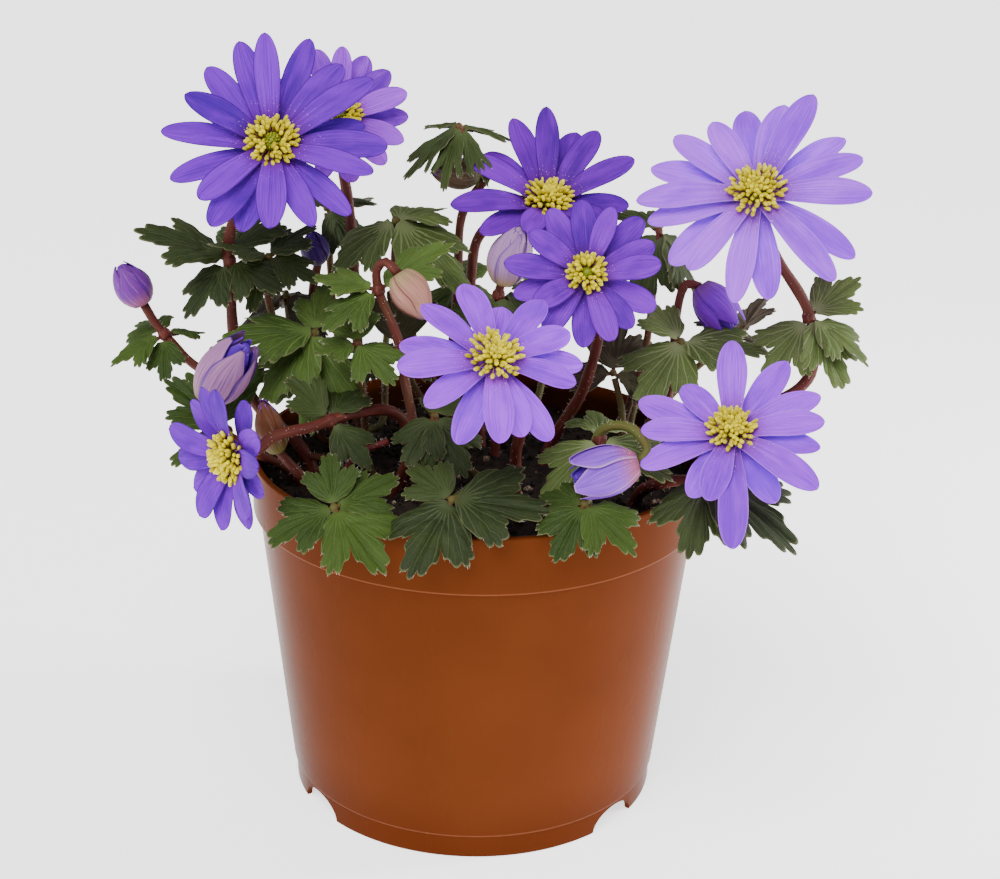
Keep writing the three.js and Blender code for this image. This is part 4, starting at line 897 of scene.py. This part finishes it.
# The veins fan out from the foot of the leaflet, with slanting side veins and fine threads between them.
leaf_veins, source, out = new_group("leaf_veins", {"Width": VEIN_WIDTH}, {"Veins": "Float", "Fan": "Float"})
tree = leaf_veins
place = add(tree, "ShaderNodeUVMap", uv_map="place").outputs[0]
strayed = add(tree, "ShaderNodeTexNoise", {"Vector": place, "Scale": 5.0, "Detail": 2.0}).outputs[0]
parts = add(tree, "ShaderNodeSeparateXYZ", {0: place}).outputs
x = calc(tree, "SUBTRACT", parts[0], 0.5)
y = calc(tree, "SUBTRACT", parts[1], VEIN_ROOT)
turn = calc(tree, "DEGREES", calc(tree, "ARCTAN2", x, y))
turn = calc(tree, "ADD", turn, times(tree, calc(tree, "SUBTRACT", strayed, 0.5), 7.0))
reach = calc(tree, "SQRT", calc(tree, "ADD", times(tree, x, x), times(tree, y, y)))
off_vein = calc(tree, "PINGPONG", calc(tree, "DIVIDE", turn, VEIN_STEP), 0.5)
away = times(tree, calc(tree, "RADIANS", times(tree, off_vein, VEIN_STEP)), reach)
thin = times(tree, source["Width"], calc(tree, "SUBTRACT", 1.2, reach))
main = step(tree, away, times(tree, thin, 1.5), times(tree, thin, 0.3))
slant = calc(tree, "SUBTRACT", times(tree, reach, 8.0), times(tree, off_vein, 3.2))
branch = times(tree, step(tree, calc(tree, "PINGPONG", slant, 0.5), 0.08, 0.01), step(tree, reach, 0.3, 0.6))
between = calc(tree, "PINGPONG", calc(tree, "DIVIDE", times(tree, turn, 4.0), VEIN_STEP), 0.5)
thread = times(tree, step(tree, between, 0.2, 0.04), step(tree, reach, 0.15, 0.4))
branch = calc(tree, "MAXIMUM", times(tree, branch, 0.35), times(tree, thread, 0.3))
tree.links.new(calc(tree, "MAXIMUM", main, branch), out["Veins"])
# Fan is 0 along each vein and 1 midway between veins; the leaf finishes use it to paint shade in the sunk
# furrows.
tree.links.new(step(tree, off_vein, 0.0, 0.5), out["Fan"])

leaf_finishes = {}
for tone, (light, dark, vein, back, shown, width) in LEAF_TONES.items():
    leaf_finishes[tone], tree, shader = new_material(f"leaf_{tone}", specular_ior_level=0.15)
    pattern = use_group(tree, leaf_veins, width=width)
    cloud = object_noise(tree, 0.14, detail=4)
    mottle = object_noise(tree, 0.9, detail=4)
    bristle = object_noise(tree, 3.2)
    fresh = calc(tree, "ADD", times(tree, mark(tree, "tint"), 0.45), times(tree, cloud, 0.75))
    colour = blend(tree, step(tree, fresh, 0.25, 0.95), dark, light)
    colour = laid(tree, colour, light, step(tree, mottle, 0.5, 0.72), 0.3)
    # Painted shade: darker bands along the sunk vein furrows.
    colour = laid(tree, colour, dark, calc(tree, "SUBTRACT", 1.0, pattern["Fan"]), 0.3)
    colour = laid(tree, colour, vein, pattern["Veins"], shown)
    colour = laid(tree, colour, "#88805c", step(tree, mark(tree, "rim"), 0.96, 1.0), 0.32)
    colour = laid(tree, colour, vein, step(tree, bristle, 0.55, 0.72), 0.22)
    colour = laid(tree, colour, blend(tree, cloud, back, light), mark(tree, "under"), 0.75)
    gloss = add(tree, "ShaderNodeMapRange", {0: mottle, 3: 0.48, 4: 0.68}).outputs[0]
    height = calc(tree, "SUBTRACT", times(tree, mottle, 0.3), pattern["Veins"])
    finish_with(tree, shader, colour, relief(tree, height, strength=0.5, distance=0.16), gloss)

for leaf in LEAVES:
    body = Shape()
    centre = Vector(leaf["centre"])
    lobes = FINGER_LOBES if leaf.get("finger") else BROAD_LOBES
    if leaf.get("ring"):
        knot = RING_KNOT
        centre, way = stem_at(centre)
    else:
        knot = STALK_KNOT
        way = (centre - Vector(leaf["stalk"][-1])).normalized()
    tube(body, [centre + way * knot["depth"] * t for t in (-1, -0.5, 0.4, 1)],
         [knot["radius"] * t for t in (0.75, 1, 0.95, 0.7)], tint=knot["tint"], finish=1)
    outward = Vector((leaf["centre"][0] * 0.004, leaf["centre"][1] * 0.006 - 0.25, 1)).normalized()
    for k, tip in enumerate(leaf["tips"]):
        end = Vector(tip)
        root = centre.lerp(end, knot["sunk"] / (end - centre).length)
        seed = leaf["centre"][0] * 1.3 + leaf["centre"][1] * 0.7 + k * 5.1
        heart = leaflet(body, root, end, outward, leaf["broad"], lobes, seed)
        bend = [centre, root.lerp(heart, 0.4) - outward * 0.35, heart - outward * 0.25]
        route = smooth_route(bend, spacing=1.0)
        radii = [LEAFLET_STALK[min(i, 6)] for i in range(len(route))]
        tube(body, route, radii, sides=8, tint=0.4, finish=1)
    fasten(body.build("cut_" + leaf["name"], leaf_finishes[leaf["tone"]], skin, down), "leaves", leaf["name"])


# The petals
# Each bloom has a ring of 14 to 18 narrow petals in three loose layers. They are long ellipses of thin
# violet tissue with fine lines along them, a greyish mauve blush deepened by painted shade and pale specks
# round the stamens, and paler backs.
LAYERS = 3
LAYER_STEP = 1.05
CUP_STEP = 3.5
PETAL_ROOT = 2.0
PETAL_ARCH = 0.05
PETAL_HALF = 0.2
HUB_ROUTE = (-1.5, -0.8, 0, 0.9, 1.3)
HUB_RADII = (1.6, 2.7, 3.2, 2.9, 1.8)
PETAL_TONES = {
    # light, deep, the blush with painted shade round the stamens, the back and its fine lines, the edge
    "bloom_high_left": ("#7216c0", "#3e0688", "#501a64", "#8c38da", "#200448"),
    "bloom_behind_left": ("#9c3cdc", "#5c14a0", "#5c2470", "#b068ea", "#380a70"),
    "bloom_back_middle": ("#6c12ae", "#40067c", "#50186a", "#8434c6", "#200440"),
    "bloom_middle": ("#7a1cc2", "#4a0a90", "#562472", "#9244d8", "#2c0658"),
    "bloom_front_middle": ("#a02cf4", "#6c18c8", "#683484", "#bc60fa", "#9a4cdc"),
    "bloom_high_right": ("#ac4cf8", "#8022dc", "#6c3c8c", "#c884ff", "#a466e0"),
    "bloom_front_right": ("#a034f2", "#721aca", "#6c3884", "#c064fc", "#a45ce0"),
    "bloom_front_left": ("#7014bc", "#480a90", "#542470", "#8c3cd4", "#2c0658"),
}


def bloom_basis(bloom):
    z = facing(bloom["azimuth"], bloom["tilt"])
    x = Vector((0, 0, 1)).cross(z).normalized()
    return np.array([x, z.cross(x), z])


def petal_width(s, tip):
    """Half width along a petal as a share of the widest: narrow at the root, rounded from tip to the end."""
    body = 0.52 + 0.48 * np.sin(np.clip(s / 0.66, 0, 1) * math.pi / 2) ** 1.5
    end = np.clip((s - tip) / (1 - tip), 0, 1)
    return body * np.sqrt(np.clip(1 - end ** 2.1, 0.0016, 1))


def sheet(shape, surface, half, rows, columns, tint=0.0, finish=0):
    """A thin closed sheet. Surface(s, u) gives its points, s along it from 0 to 1 and u across it from -1 to
    1, and half is half its thickness at the middle of its foot."""
    s = 1 - (1 - np.linspace(0, 1, rows)) ** 1.5
    s, u = np.meshgrid(s, np.sin(np.linspace(-1, 1, columns) * math.pi / 2), indexing="ij")
    points = surface(s, u)
    normal = np.cross(np.gradient(points, axis=1), np.gradient(points, axis=0))
    normal /= np.maximum(np.linalg.norm(normal, axis=-1, keepdims=True), 1e-9)
    thick = normal * (half * np.sqrt(np.clip(1 - 0.93 * u ** 2, 0, 1)) * (1 - 0.5 * s ** 2))[..., None]
    places = np.stack([0.5 + 0.5 * u, s], axis=-1)
    rim = np.maximum(np.abs(u), s ** 6)
    faces = grid(rows, columns)
    index = shape.count + np.arange(rows * columns).reshape(rows, columns)
    loop = np.concatenate([index[0, :-1], index[:-1, -1], index[-1, :0:-1], index[:0:-1, 0]])
    shape.add(points + thick, faces, places, tint, 0.0, rim, finish)
    shape.add(points - thick, faces[:, ::-1], places, tint, 1.0, rim, finish)
    shape.join(margin_quads(loop, rows * columns), finish)


def petal(shape, bloom, basis, i, angle, reach):
    """One petal of a bloom, in the layer that its number gives, with its own width, twist, sway and tip."""
    layer = 1 - i % LAYERS
    cup = math.radians(bloom["cup"] + CUP_STEP * layer)
    turn = math.radians(angle - 90)
    width = bloom["width"] * (0.8 + 0.18 * draw(bloom["centre"][1], i))
    length = reach - PETAL_ROOT
    seed = bloom["centre"][0] + 2.3 * i
    twist = 0.32 * (draw(seed, 1) - 0.5)
    sway = 0.07 * (draw(seed, 2) - 0.5) * length
    recurve = 0.08 * (draw(seed, 3) - 0.62) * length
    trough = 0.3 + 0.5 * draw(seed, 4)
    tip = 0.56 + 0.14 * draw(seed, 5)

    def surface(s, u):
        x = u * petal_width(s, tip) * width / 2
        y = length * s
        z = PETAL_ARCH * length * np.sin(math.pi * s) + recurve * s ** 3
        z = z + trough * (u ** 2 - 0.4) * np.sin(math.pi * np.clip(s * 1.1, 0, 1))
        z = z + 0.22 * np.exp(-(u / 0.16) ** 2) * s
        z = z + 0.16 * s * u ** 2 * np.sin(9 * s + FULL_TURN * draw(seed, 6) + 2 * u)
        x, z = x * np.cos(twist * s) - z * np.sin(twist * s) * 0.3, z + x * np.sin(twist * s)
        x = x + sway * s ** 2
        y, z = y * math.cos(cup) - z * math.sin(cup), y * math.sin(cup) + z * math.cos(cup)
        y, z = y + PETAL_ROOT, z + LAYER_STEP * layer
        x, y = x * math.cos(turn) - y * math.sin(turn), x * math.sin(turn) + y * math.cos(turn)
        return np.array(bloom["centre"]) + np.stack([x, y, z], axis=-1) @ basis

    sheet(shape, surface, PETAL_HALF, rows=24, columns=13, tint=draw(seed, 7))


def tissue(tree, lines_across):
    """The fine lines along a petal, how far along it a point lies, and its place shifted by its own tint, so
    that no two petals have the same pattern."""
    place = add(tree, "ShaderNodeUVMap", uv_map="place").outputs[0]
    parts = add(tree, "ShaderNodeSeparateXYZ", {0: place}).outputs
    own = times(tree, mark(tree, "tint"), 40.0)
    shifted = add(tree, "ShaderNodeCombineXYZ", {0: parts[0], 1: parts[1], 2: own}).outputs[0]
    return noise_on(tree, shifted, lines_across, detail=4.0, roughness=0.6), parts[1], shifted


petal_tissue, source, out = new_group("petal_tissue", {
    "Light": linear("#8a55e6"), "Deep": linear("#6c36cf"), "Blush": linear("#8a4cb4"),
    "Back": linear("#b9a0ea"), "Edge": linear("#34066c"),
}, {"Color": "Color", "Height": "Float"})
tree = petal_tissue
lines, along, shifted = tissue(tree, (42, 1.5, 1))
wash = noise_on(tree, shifted, (2.2, 2.6, 1))
freckled = add(tree, "ShaderNodeMapping", {"Vector": shifted, "Scale": (9, 22, 1)}).outputs[0]
cells = add(tree, "ShaderNodeTexVoronoi", {"Vector": freckled, "Scale": 1.0}).outputs["Distance"]
freckle = times(tree, step(tree, cells, 0.2, 0.1), step(tree, along, 0.5, 0.16))
near = step(tree, calc(tree, "ADD", along, times(tree, lines, 0.14)), 0.5, 0.14)
fresh = calc(tree, "ADD", times(tree, wash, 0.9), times(tree, mark(tree, "tint"), 0.5))
colour = blend(tree, step(tree, fresh, 0.3, 0.95), source["Deep"], source["Light"])
colour = laid(tree, colour, source["Deep"], step(tree, lines, 0.5, 0.36), 0.6)
colour = laid(tree, colour, source["Back"], step(tree, lines, 0.53, 0.7), 0.4)
# The blush round the stamens: partly the petals' own greyish mauve, partly painted shade cast by the stamens.
colour = laid(tree, colour, source["Blush"], near, 0.75)
colour = laid(tree, colour, "#d8b0ea", freckle, 0.6)
colour = laid(tree, colour, source["Edge"], step(tree, mark(tree, "rim"), 0.91, 0.99), 0.75)
colour = laid(tree, colour, source["Back"], mark(tree, "under"), 0.55)
tree.links.new(colour, out["Color"])
tree.links.new(lines, out["Height"])

for bloom in BLOOMS:
    light, deep, blush, back, edge = map(linear, PETAL_TONES[bloom["name"]])
    finish, tree, shader = new_material(bloom["name"] + "_tissue", roughness=0.55, specular_ior_level=0.05)
    pattern = use_group(tree, petal_tissue, light=light, deep=deep, blush=blush, back=back, edge=edge)
    finish_with(tree, shader, pattern["Color"], relief(tree, pattern["Height"], strength=0.35, distance=0.18))
    ring = Shape()
    for i, (angle, reach) in enumerate(bloom["petals"]):
        petal(ring, bloom, bloom_basis(bloom), i, angle, reach)
    hub = Vector(bloom["centre"])
    face = facing(bloom["azimuth"], bloom["tilt"])
    tube(ring, [hub + face * t for t in HUB_ROUTE], HUB_RADII, sides=20, tint=0.5, under=0.3)
    fasten(ring.build(bloom["name"] + "_petal_ring", finish), "petals", bloom["name"] + "_petals")


# The stamens
# In the middle of each bloom a green dome of small seed cases stands in a dense brush of stamens: yellow
# threads that each carry an upright yellow pollen sac.
GOLDEN_TURN = math.pi * (3 - math.sqrt(5))
STAMEN_REACH = 5.6
STAMEN_LEVEL = 1.75
DOME_ROUTE = (-0.1, 0.9, 1.7, 2.2)
DOME_RADII = (2.2, 1.9, 1.2, 0.4)
SEED_CASES = 36
SEED_CASE_SIZE = (1.1, 0.6)
THREAD_RADII = (0.16, 0.12, 0.1)
SAC_LENGTHS = (1.7, 2.4)
SAC_WIDTH = 1.02
# A bloom whose green dome shows has fewer stamens, which start further out.
SHOWN_DOME = dict(inner=1.9, stamens=92)
HIDDEN_DOME = dict(inner=0.2, stamens=100)
GREEN_HEARTED = ("bloom_high_left", "bloom_middle", "bloom_behind_left")
NARROW_BRUSHES = {"bloom_middle": 0.82, "bloom_front_right": 0.86}


def pod(shape, centre, way, length, width, tint, finish, sides=7, rows=5):
    """A small closed ovate body along a direction. Its rim mark is how high up the body a point lies."""
    across = way.orthogonal().normalized()
    other = way.cross(across)
    points, heights = [], []
    for i in range(rows):
        slope = math.pi * (i + 0.6) / (rows + 0.2)
        heights += [0.5 - 0.5 * math.cos(slope)] * sides
        for j in range(sides):
            a = FULL_TURN * j / sides
            ring = (across * math.cos(a) + other * math.sin(a)) * math.sin(slope) ** 0.8 * width / 2
            points.append(centre + ring - way * math.cos(slope) * length / 2)
    points += [centre - way * length / 2, centre + way * length / 2]
    shape.add(points, capped(rows, sides), None, tint, 0.0, heights + [0, 1], finish)


pollen, tree, shader = new_material("pollen_sacs", roughness=0.75, specular_ior_level=0.15)
yellow = blend(tree, mark(tree, "tint"), "#a89408", "#e0d20e")
yellow = blend(tree, step(tree, object_noise(tree, 2.5), 0.52, 0.72), yellow, "#e2d83c")
# Painted shade: the foot of each pollen sac is darkened brown-gold, where the crowded brush shades it.
yellow = laid(tree, yellow, "#7c5408", step(tree, mark(tree, "rim"), 0.55, 0.0), 0.75)
finish_with(tree, shader, yellow, relief(tree, object_noise(tree, 5), strength=0.6, distance=0.1))
seed_cases, tree, shader = new_material("seed_cases", roughness=0.6)
finish_with(tree, shader, blend(tree, mark(tree, "tint"), "#66780c", "#98980c"))
thread, tree, shader = new_material("stamen_threads", roughness=0.5)
finish_with(tree, shader, blend(tree, object_noise(tree, 0.8), "#946414", "#b48c2c"))

for bloom in BLOOMS:
    brush = Shape()
    basis = Matrix(bloom_basis(bloom)).transposed()
    face = basis @ Vector((0, 0, 1))
    base = Vector(bloom["centre"]) + face * STAMEN_LEVEL
    scale = bloom["width"] / 7 * NARROW_BRUSHES.get(bloom["name"], 1)
    seed = bloom["centre"][0]
    radii = [radius * scale for radius in DOME_RADII]
    tube(brush, [base + face * t for t in DOME_ROUTE], radii, sides=20, tint=0.3, finish=1)
    for i in range(SEED_CASES):
        way = basis @ on_ball(1.35 * math.sqrt((i + 0.5) / SEED_CASES), GOLDEN_TURN * i)
        spot = base + face * 0.5 + way * 1.7 * scale
        length, width = [scale * size for size in SEED_CASE_SIZE]
        tint = 0.3 + 0.7 * draw(seed, i)
        pod(brush, spot, way, length, width, tint, finish=1, sides=6, rows=4)
    dome = SHOWN_DOME if bloom["name"] in GREEN_HEARTED else HIDDEN_DOME
    count = int(dome["stamens"] * scale)
    for i in range(count):
        share = (i + 0.5) / count
        turn = GOLDEN_TURN * i + 0.5 * draw(seed + 1, i)
        flat = Vector((math.cos(turn), math.sin(turn), 0))
        reach = (dome["inner"] + (STAMEN_REACH - dome["inner"]) * share ** 0.75) * scale
        lift = 2.7 - 1.9 * share ** 1.4 + 0.8 * (draw(seed + 2, i) - 0.5)
        foot = base + basis @ (flat * (1.6 + 0.6 * share) * scale)
        head = base + basis @ (flat * reach + Vector((0, 0, lift)))
        tube(brush, [foot, foot.lerp(head, 0.5) + face * 0.5, head], THREAD_RADII, sides=4, finish=2)
        stray = Vector((0.7 * (draw(seed + 3, i) - 0.5), 0.7 * (draw(seed + 4, i) - 0.5), 0.8))
        lean = basis @ (flat * (0.2 + 1.3 * share) + stray).normalized()
        length = SAC_LENGTHS[0] + (SAC_LENGTHS[1] - SAC_LENGTHS[0]) * draw(seed + 5, i)
        pod(brush, head + lean * 0.3, lean, length, SAC_WIDTH, draw(seed + 6, i), finish=0)
    fasten(brush.build(bloom["name"] + "_stamen_brush", pollen, seed_cases, thread), "stamens",
           bloom["name"] + "_stamens")


# The buds
# The closed, nodding and half-open flowers. A bud has two rings of petals that wind round it and overlap,
# often paler and downy at the base and darker where the petals fold over one another.
BUD_PETALS = 5
BUD_HALF = 0.22
BUD_FOOT = 0.25
INSIDE_FOLDS = "#38087c"
INSIDE_RIM = "#7030bc"
BUD_LOOKS = {
    # body, base, folds and rim are colours of the outer petals, and rim is that of the folds unless it is
    # given. Inside is the inner petals' colour, flare how far the tips stand open, and down how many hairs
    # the base has.
    "bud_left": dict(body="#682a86", base="#985878", folds="#3c1278", flare=0.0, down=40),
    "bud_half_open_left": dict(body="#92648c", base="#947470", folds="#38107c", flare=0.3, down=30,
                               inside="#4c0e9a"),
    "bud_nodding_middle": dict(body="#a87868", base="#94805c", folds="#70403c", flare=0.0, down=30),
    "bud_back_middle": dict(body="#5e4c38", base="#4c4c20", folds="#40302a", flare=0.0, down=30),
    "bud_large_middle": dict(body="#a07ca4", base="#b0925c", folds="#5c2894", flare=0.0, down=60),
    "bud_half_open_front": dict(body="#8040c4", base="#985468", folds="#3c0c88", flare=0.42, down=40,
                                inside="#400888", rim="#ac88b4"),
    "bud_dark_left": dict(body="#341658", base="#54465c", folds="#200840", flare=0.0, down=60),
    "bud_nodding_right": dict(body="#741cb0", base="#703c80", folds="#480c80", flare=0.4, down=20,
                              inside="#540c94"),
    "bud_low_left": dict(body="#54341c", base="#565420", folds="#581c18", flare=0.0, down=20),
}


def bud_swell(t):
    """How thick a closed bud is along it, as a share of its widest."""
    return np.sin(math.pi * (0.08 + 0.86 * t) ** 0.82) ** 0.75


def bud_ring(shape, bud, basis, start, scale, flare, seed, finish):
    """One ring of overlapping petals round the bud's axis."""
    length = (Vector(bud["tip"]) - Vector(bud["base"])).length
    spread = math.pi / BUD_PETALS * 1.5 * (1.0 if flare == 0 else 0.9)
    for k in range(BUD_PETALS):
        middle = start + FULL_TURN * k / BUD_PETALS
        reach = 1.0 - 0.1 * draw(seed, k)
        opening = flare * (0.7 + 0.6 * draw(seed + 1, k))

        def surface(s, u, middle=middle, reach=reach, opening=opening):
            cup = 0.35 + 0.65 * np.sin(np.clip(s / 0.6, 0, 1) * math.pi / 2) + 0.55 * s ** 3
            swell = bud_swell(s) * (1 - opening) + cup * opening
            taper = 1 - 0.82 * np.clip((s - 0.55) / 0.45, 0, 1) ** 1.6
            turn = middle + 0.5 * s + u * spread * taper
            radius = bud["width"] / 2 * scale * swell * (1.0 + 0.07 * u) + BUD_FOOT
            local = [radius * np.cos(turn), length * (reach * s - 0.02), radius * np.sin(turn)]
            return np.array(bud["base"]) + np.stack(local, axis=-1) @ basis

        sheet(shape, surface, BUD_HALF, rows=16, columns=9, tint=draw(seed + 2, k), finish=finish)


bud_tissue, source, out = new_group("bud_tissue", {
    "Body": linear("#8a5bb0"), "Base": linear("#b9a08e"), "Folds": linear("#6a3f96"),
    "Rim": linear("#6a3f96"),
}, {"Color": "Color", "Height": "Float"})
tree = bud_tissue
lines, along, _ = tissue(tree, (26, 1.4, 1))
up = calc(tree, "ADD", along, times(tree, calc(tree, "SUBTRACT", lines, 0.5), 0.3))
colour = blend(tree, step(tree, up, 0.04, 0.42), source["Base"], source["Body"])
colour = laid(tree, colour, source["Folds"], step(tree, lines, 0.5, 0.36), 0.5)
# Painted sheen: pale streaks along the fine lines of the bud petals.
colour = laid(tree, colour, "#e0c0d8", step(tree, lines, 0.55, 0.7), 0.16)
colour = laid(tree, colour, source["Rim"], step(tree, mark(tree, "rim"), 0.84, 0.98), 0.8)
tree.links.new(colour, out["Color"])
tree.links.new(lines, out["Height"])

for bud in BUDS:
    looks = BUD_LOOKS[bud["name"]]
    inside = looks.get("inside", looks["body"])
    finishes = []
    outer = (looks["body"], looks["base"], looks["folds"], looks.get("rim", looks["folds"]))
    for part, tones in (("body", outer), ("inside", (inside, inside, INSIDE_FOLDS, INSIDE_RIM))):
        finish, tree, shader = new_material(f"{bud['name']}_{part}", roughness=0.55, specular_ior_level=0.12)
        body, base, folds, rim = map(linear, tones)
        pattern = use_group(tree, bud_tissue, body=body, base=base, folds=folds, rim=rim)
        bump = relief(tree, pattern["Height"], strength=0.4, distance=0.2)
        finish_with(tree, shader, pattern["Color"], bump)
        finishes.append(finish)
    closed = looks["flare"] == 0
    root, tip = Vector(bud["base"]), Vector(bud["tip"])
    axis = (tip - root).normalized()
    length, half_width = (tip - root).length, bud["width"] / 2
    basis = frame_along(root, tip, Vector((0.3, -1, 0.2)))
    seed = bud["base"][0]
    shape = Shape()
    core = [root + axis * length * t for t in np.linspace(0.0, 0.93, 12)]
    girth = [half_width * (0.86 if closed else 0.6) * bud_swell(t) for t in np.linspace(0, 1, 12)]
    tube(shape, core, girth, sides=18, tint=0.5, finish=1)
    bud_ring(shape, bud, basis, 0.6, 0.86 if closed else 0.72, looks["flare"] / 2, seed + 4, finish=1)
    bud_ring(shape, bud, basis, 0.0, 0.98, looks["flare"], seed, finish=0)
    tube(shape, [root + axis * t for t in (-0.2, 0.5, 1.1)], (1.2, 1.7, 1.5), sides=14, tint=0.3)
    for i in range(looks["down"]):
        turn, t = FULL_TURN * draw(seed + 8, i), 0.02 + 0.3 * draw(seed + 9, i) ** 1.5
        out = Vector(np.array([math.cos(turn), 0, math.sin(turn)]) @ basis)
        spot = root + axis * length * t + out * half_width * bud_swell(t)
        way = (out + axis * 0.5).normalized() * (0.5 + 0.7 * draw(seed + 10, i))
        hair(shape, spot - out * 0.1, spot + way, HAIR_WIDTH, finish=2)
    fasten(shape.build("petalled_" + bud["name"], *finishes, down), "buds", bud["name"])


# The floor, the light and the camera
# The pot stands free on a plain white surface in soft studio light, seen from a little above as in the
# photograph.
bpy.ops.mesh.primitive_plane_add(size=6)
floor = bpy.context.object
floor.name = "floor"
paper, tree, shader = new_material("paper_white", roughness=0.8, specular_ior_level=0.2,
                                   emission_strength=1.4)
finish_with(tree, shader, blend(tree, object_noise(tree, 0.002), "#f6f6f6", "#ffffff"))
shader.inputs["Emission Color"].default_value = linear("#ffffff")
floor.data.materials.append(paper)
floor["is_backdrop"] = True

world = bpy.data.worlds.new("studio")
world.use_nodes = True
world.node_tree.nodes["Background"].inputs["Color"].default_value = (1, 1, 1, 1)
world.node_tree.nodes["Background"].inputs["Strength"].default_value = 0.5
bpy.context.scene.world = world


def strip_light(name, place, power):
    """A tall soft lamp to one side, aimed just under the pot's collar."""
    data = bpy.data.lights.new(name, "AREA")
    data.shape, data.size, data.size_y, data.energy = "RECTANGLE", 90 * MM, 420 * MM, power
    light = bpy.data.objects.new(name, data)
    bpy.context.collection.objects.link(light)
    light.location = Vector(place) * MM
    light.rotation_euler = (Vector((0, 0, 70)) - Vector(place)).to_track_quat("-Z", "Y").to_euler()


sky = bpy.data.lights.new("broad_overhead", "SUN")
sky.energy, sky.angle = 4.0, math.radians(44)
overhead = bpy.data.objects.new("broad_overhead", sky)
bpy.context.collection.objects.link(overhead)
overhead.rotation_euler = (math.radians(34), math.radians(-16), 0)
strip_light("strip_right", (480, 60, 200), power=3.4)
strip_light("strip_left", (-480, 40, 200), power=0.4)

# The view of the photograph: its place, how far it looks down, its roll and its lens were measured on the
# pot's rim. Pitch and roll are in radians.
CAMERA_PLACE = (5.29, -454.04, 269.0)
CAMERA_PITCH = 0.376
CAMERA_ROLL = -0.021
forward = Vector((0, math.cos(CAMERA_PITCH), -math.sin(CAMERA_PITCH)))
downward = Vector((0, -math.sin(CAMERA_PITCH), -math.cos(CAMERA_PITCH)))
right = Vector((1, 0, 0))
side = right * math.cos(CAMERA_ROLL) + downward * math.sin(CAMERA_ROLL)
upward = right * math.sin(CAMERA_ROLL) - downward * math.cos(CAMERA_ROLL)
camera = bpy.data.objects.new("camera", bpy.data.cameras.new("camera"))
camera.data.lens, camera.data.sensor_width = 72.0, 36.0
turned = Matrix((side, upward, -forward)).transposed().to_4x4()
camera.matrix_world = Matrix.Translation(Vector(CAMERA_PLACE) * MM) @ turned
bpy.context.collection.objects.link(camera)
bpy.context.scene.camera = camera
bpy.context.view_layer.update()

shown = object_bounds()
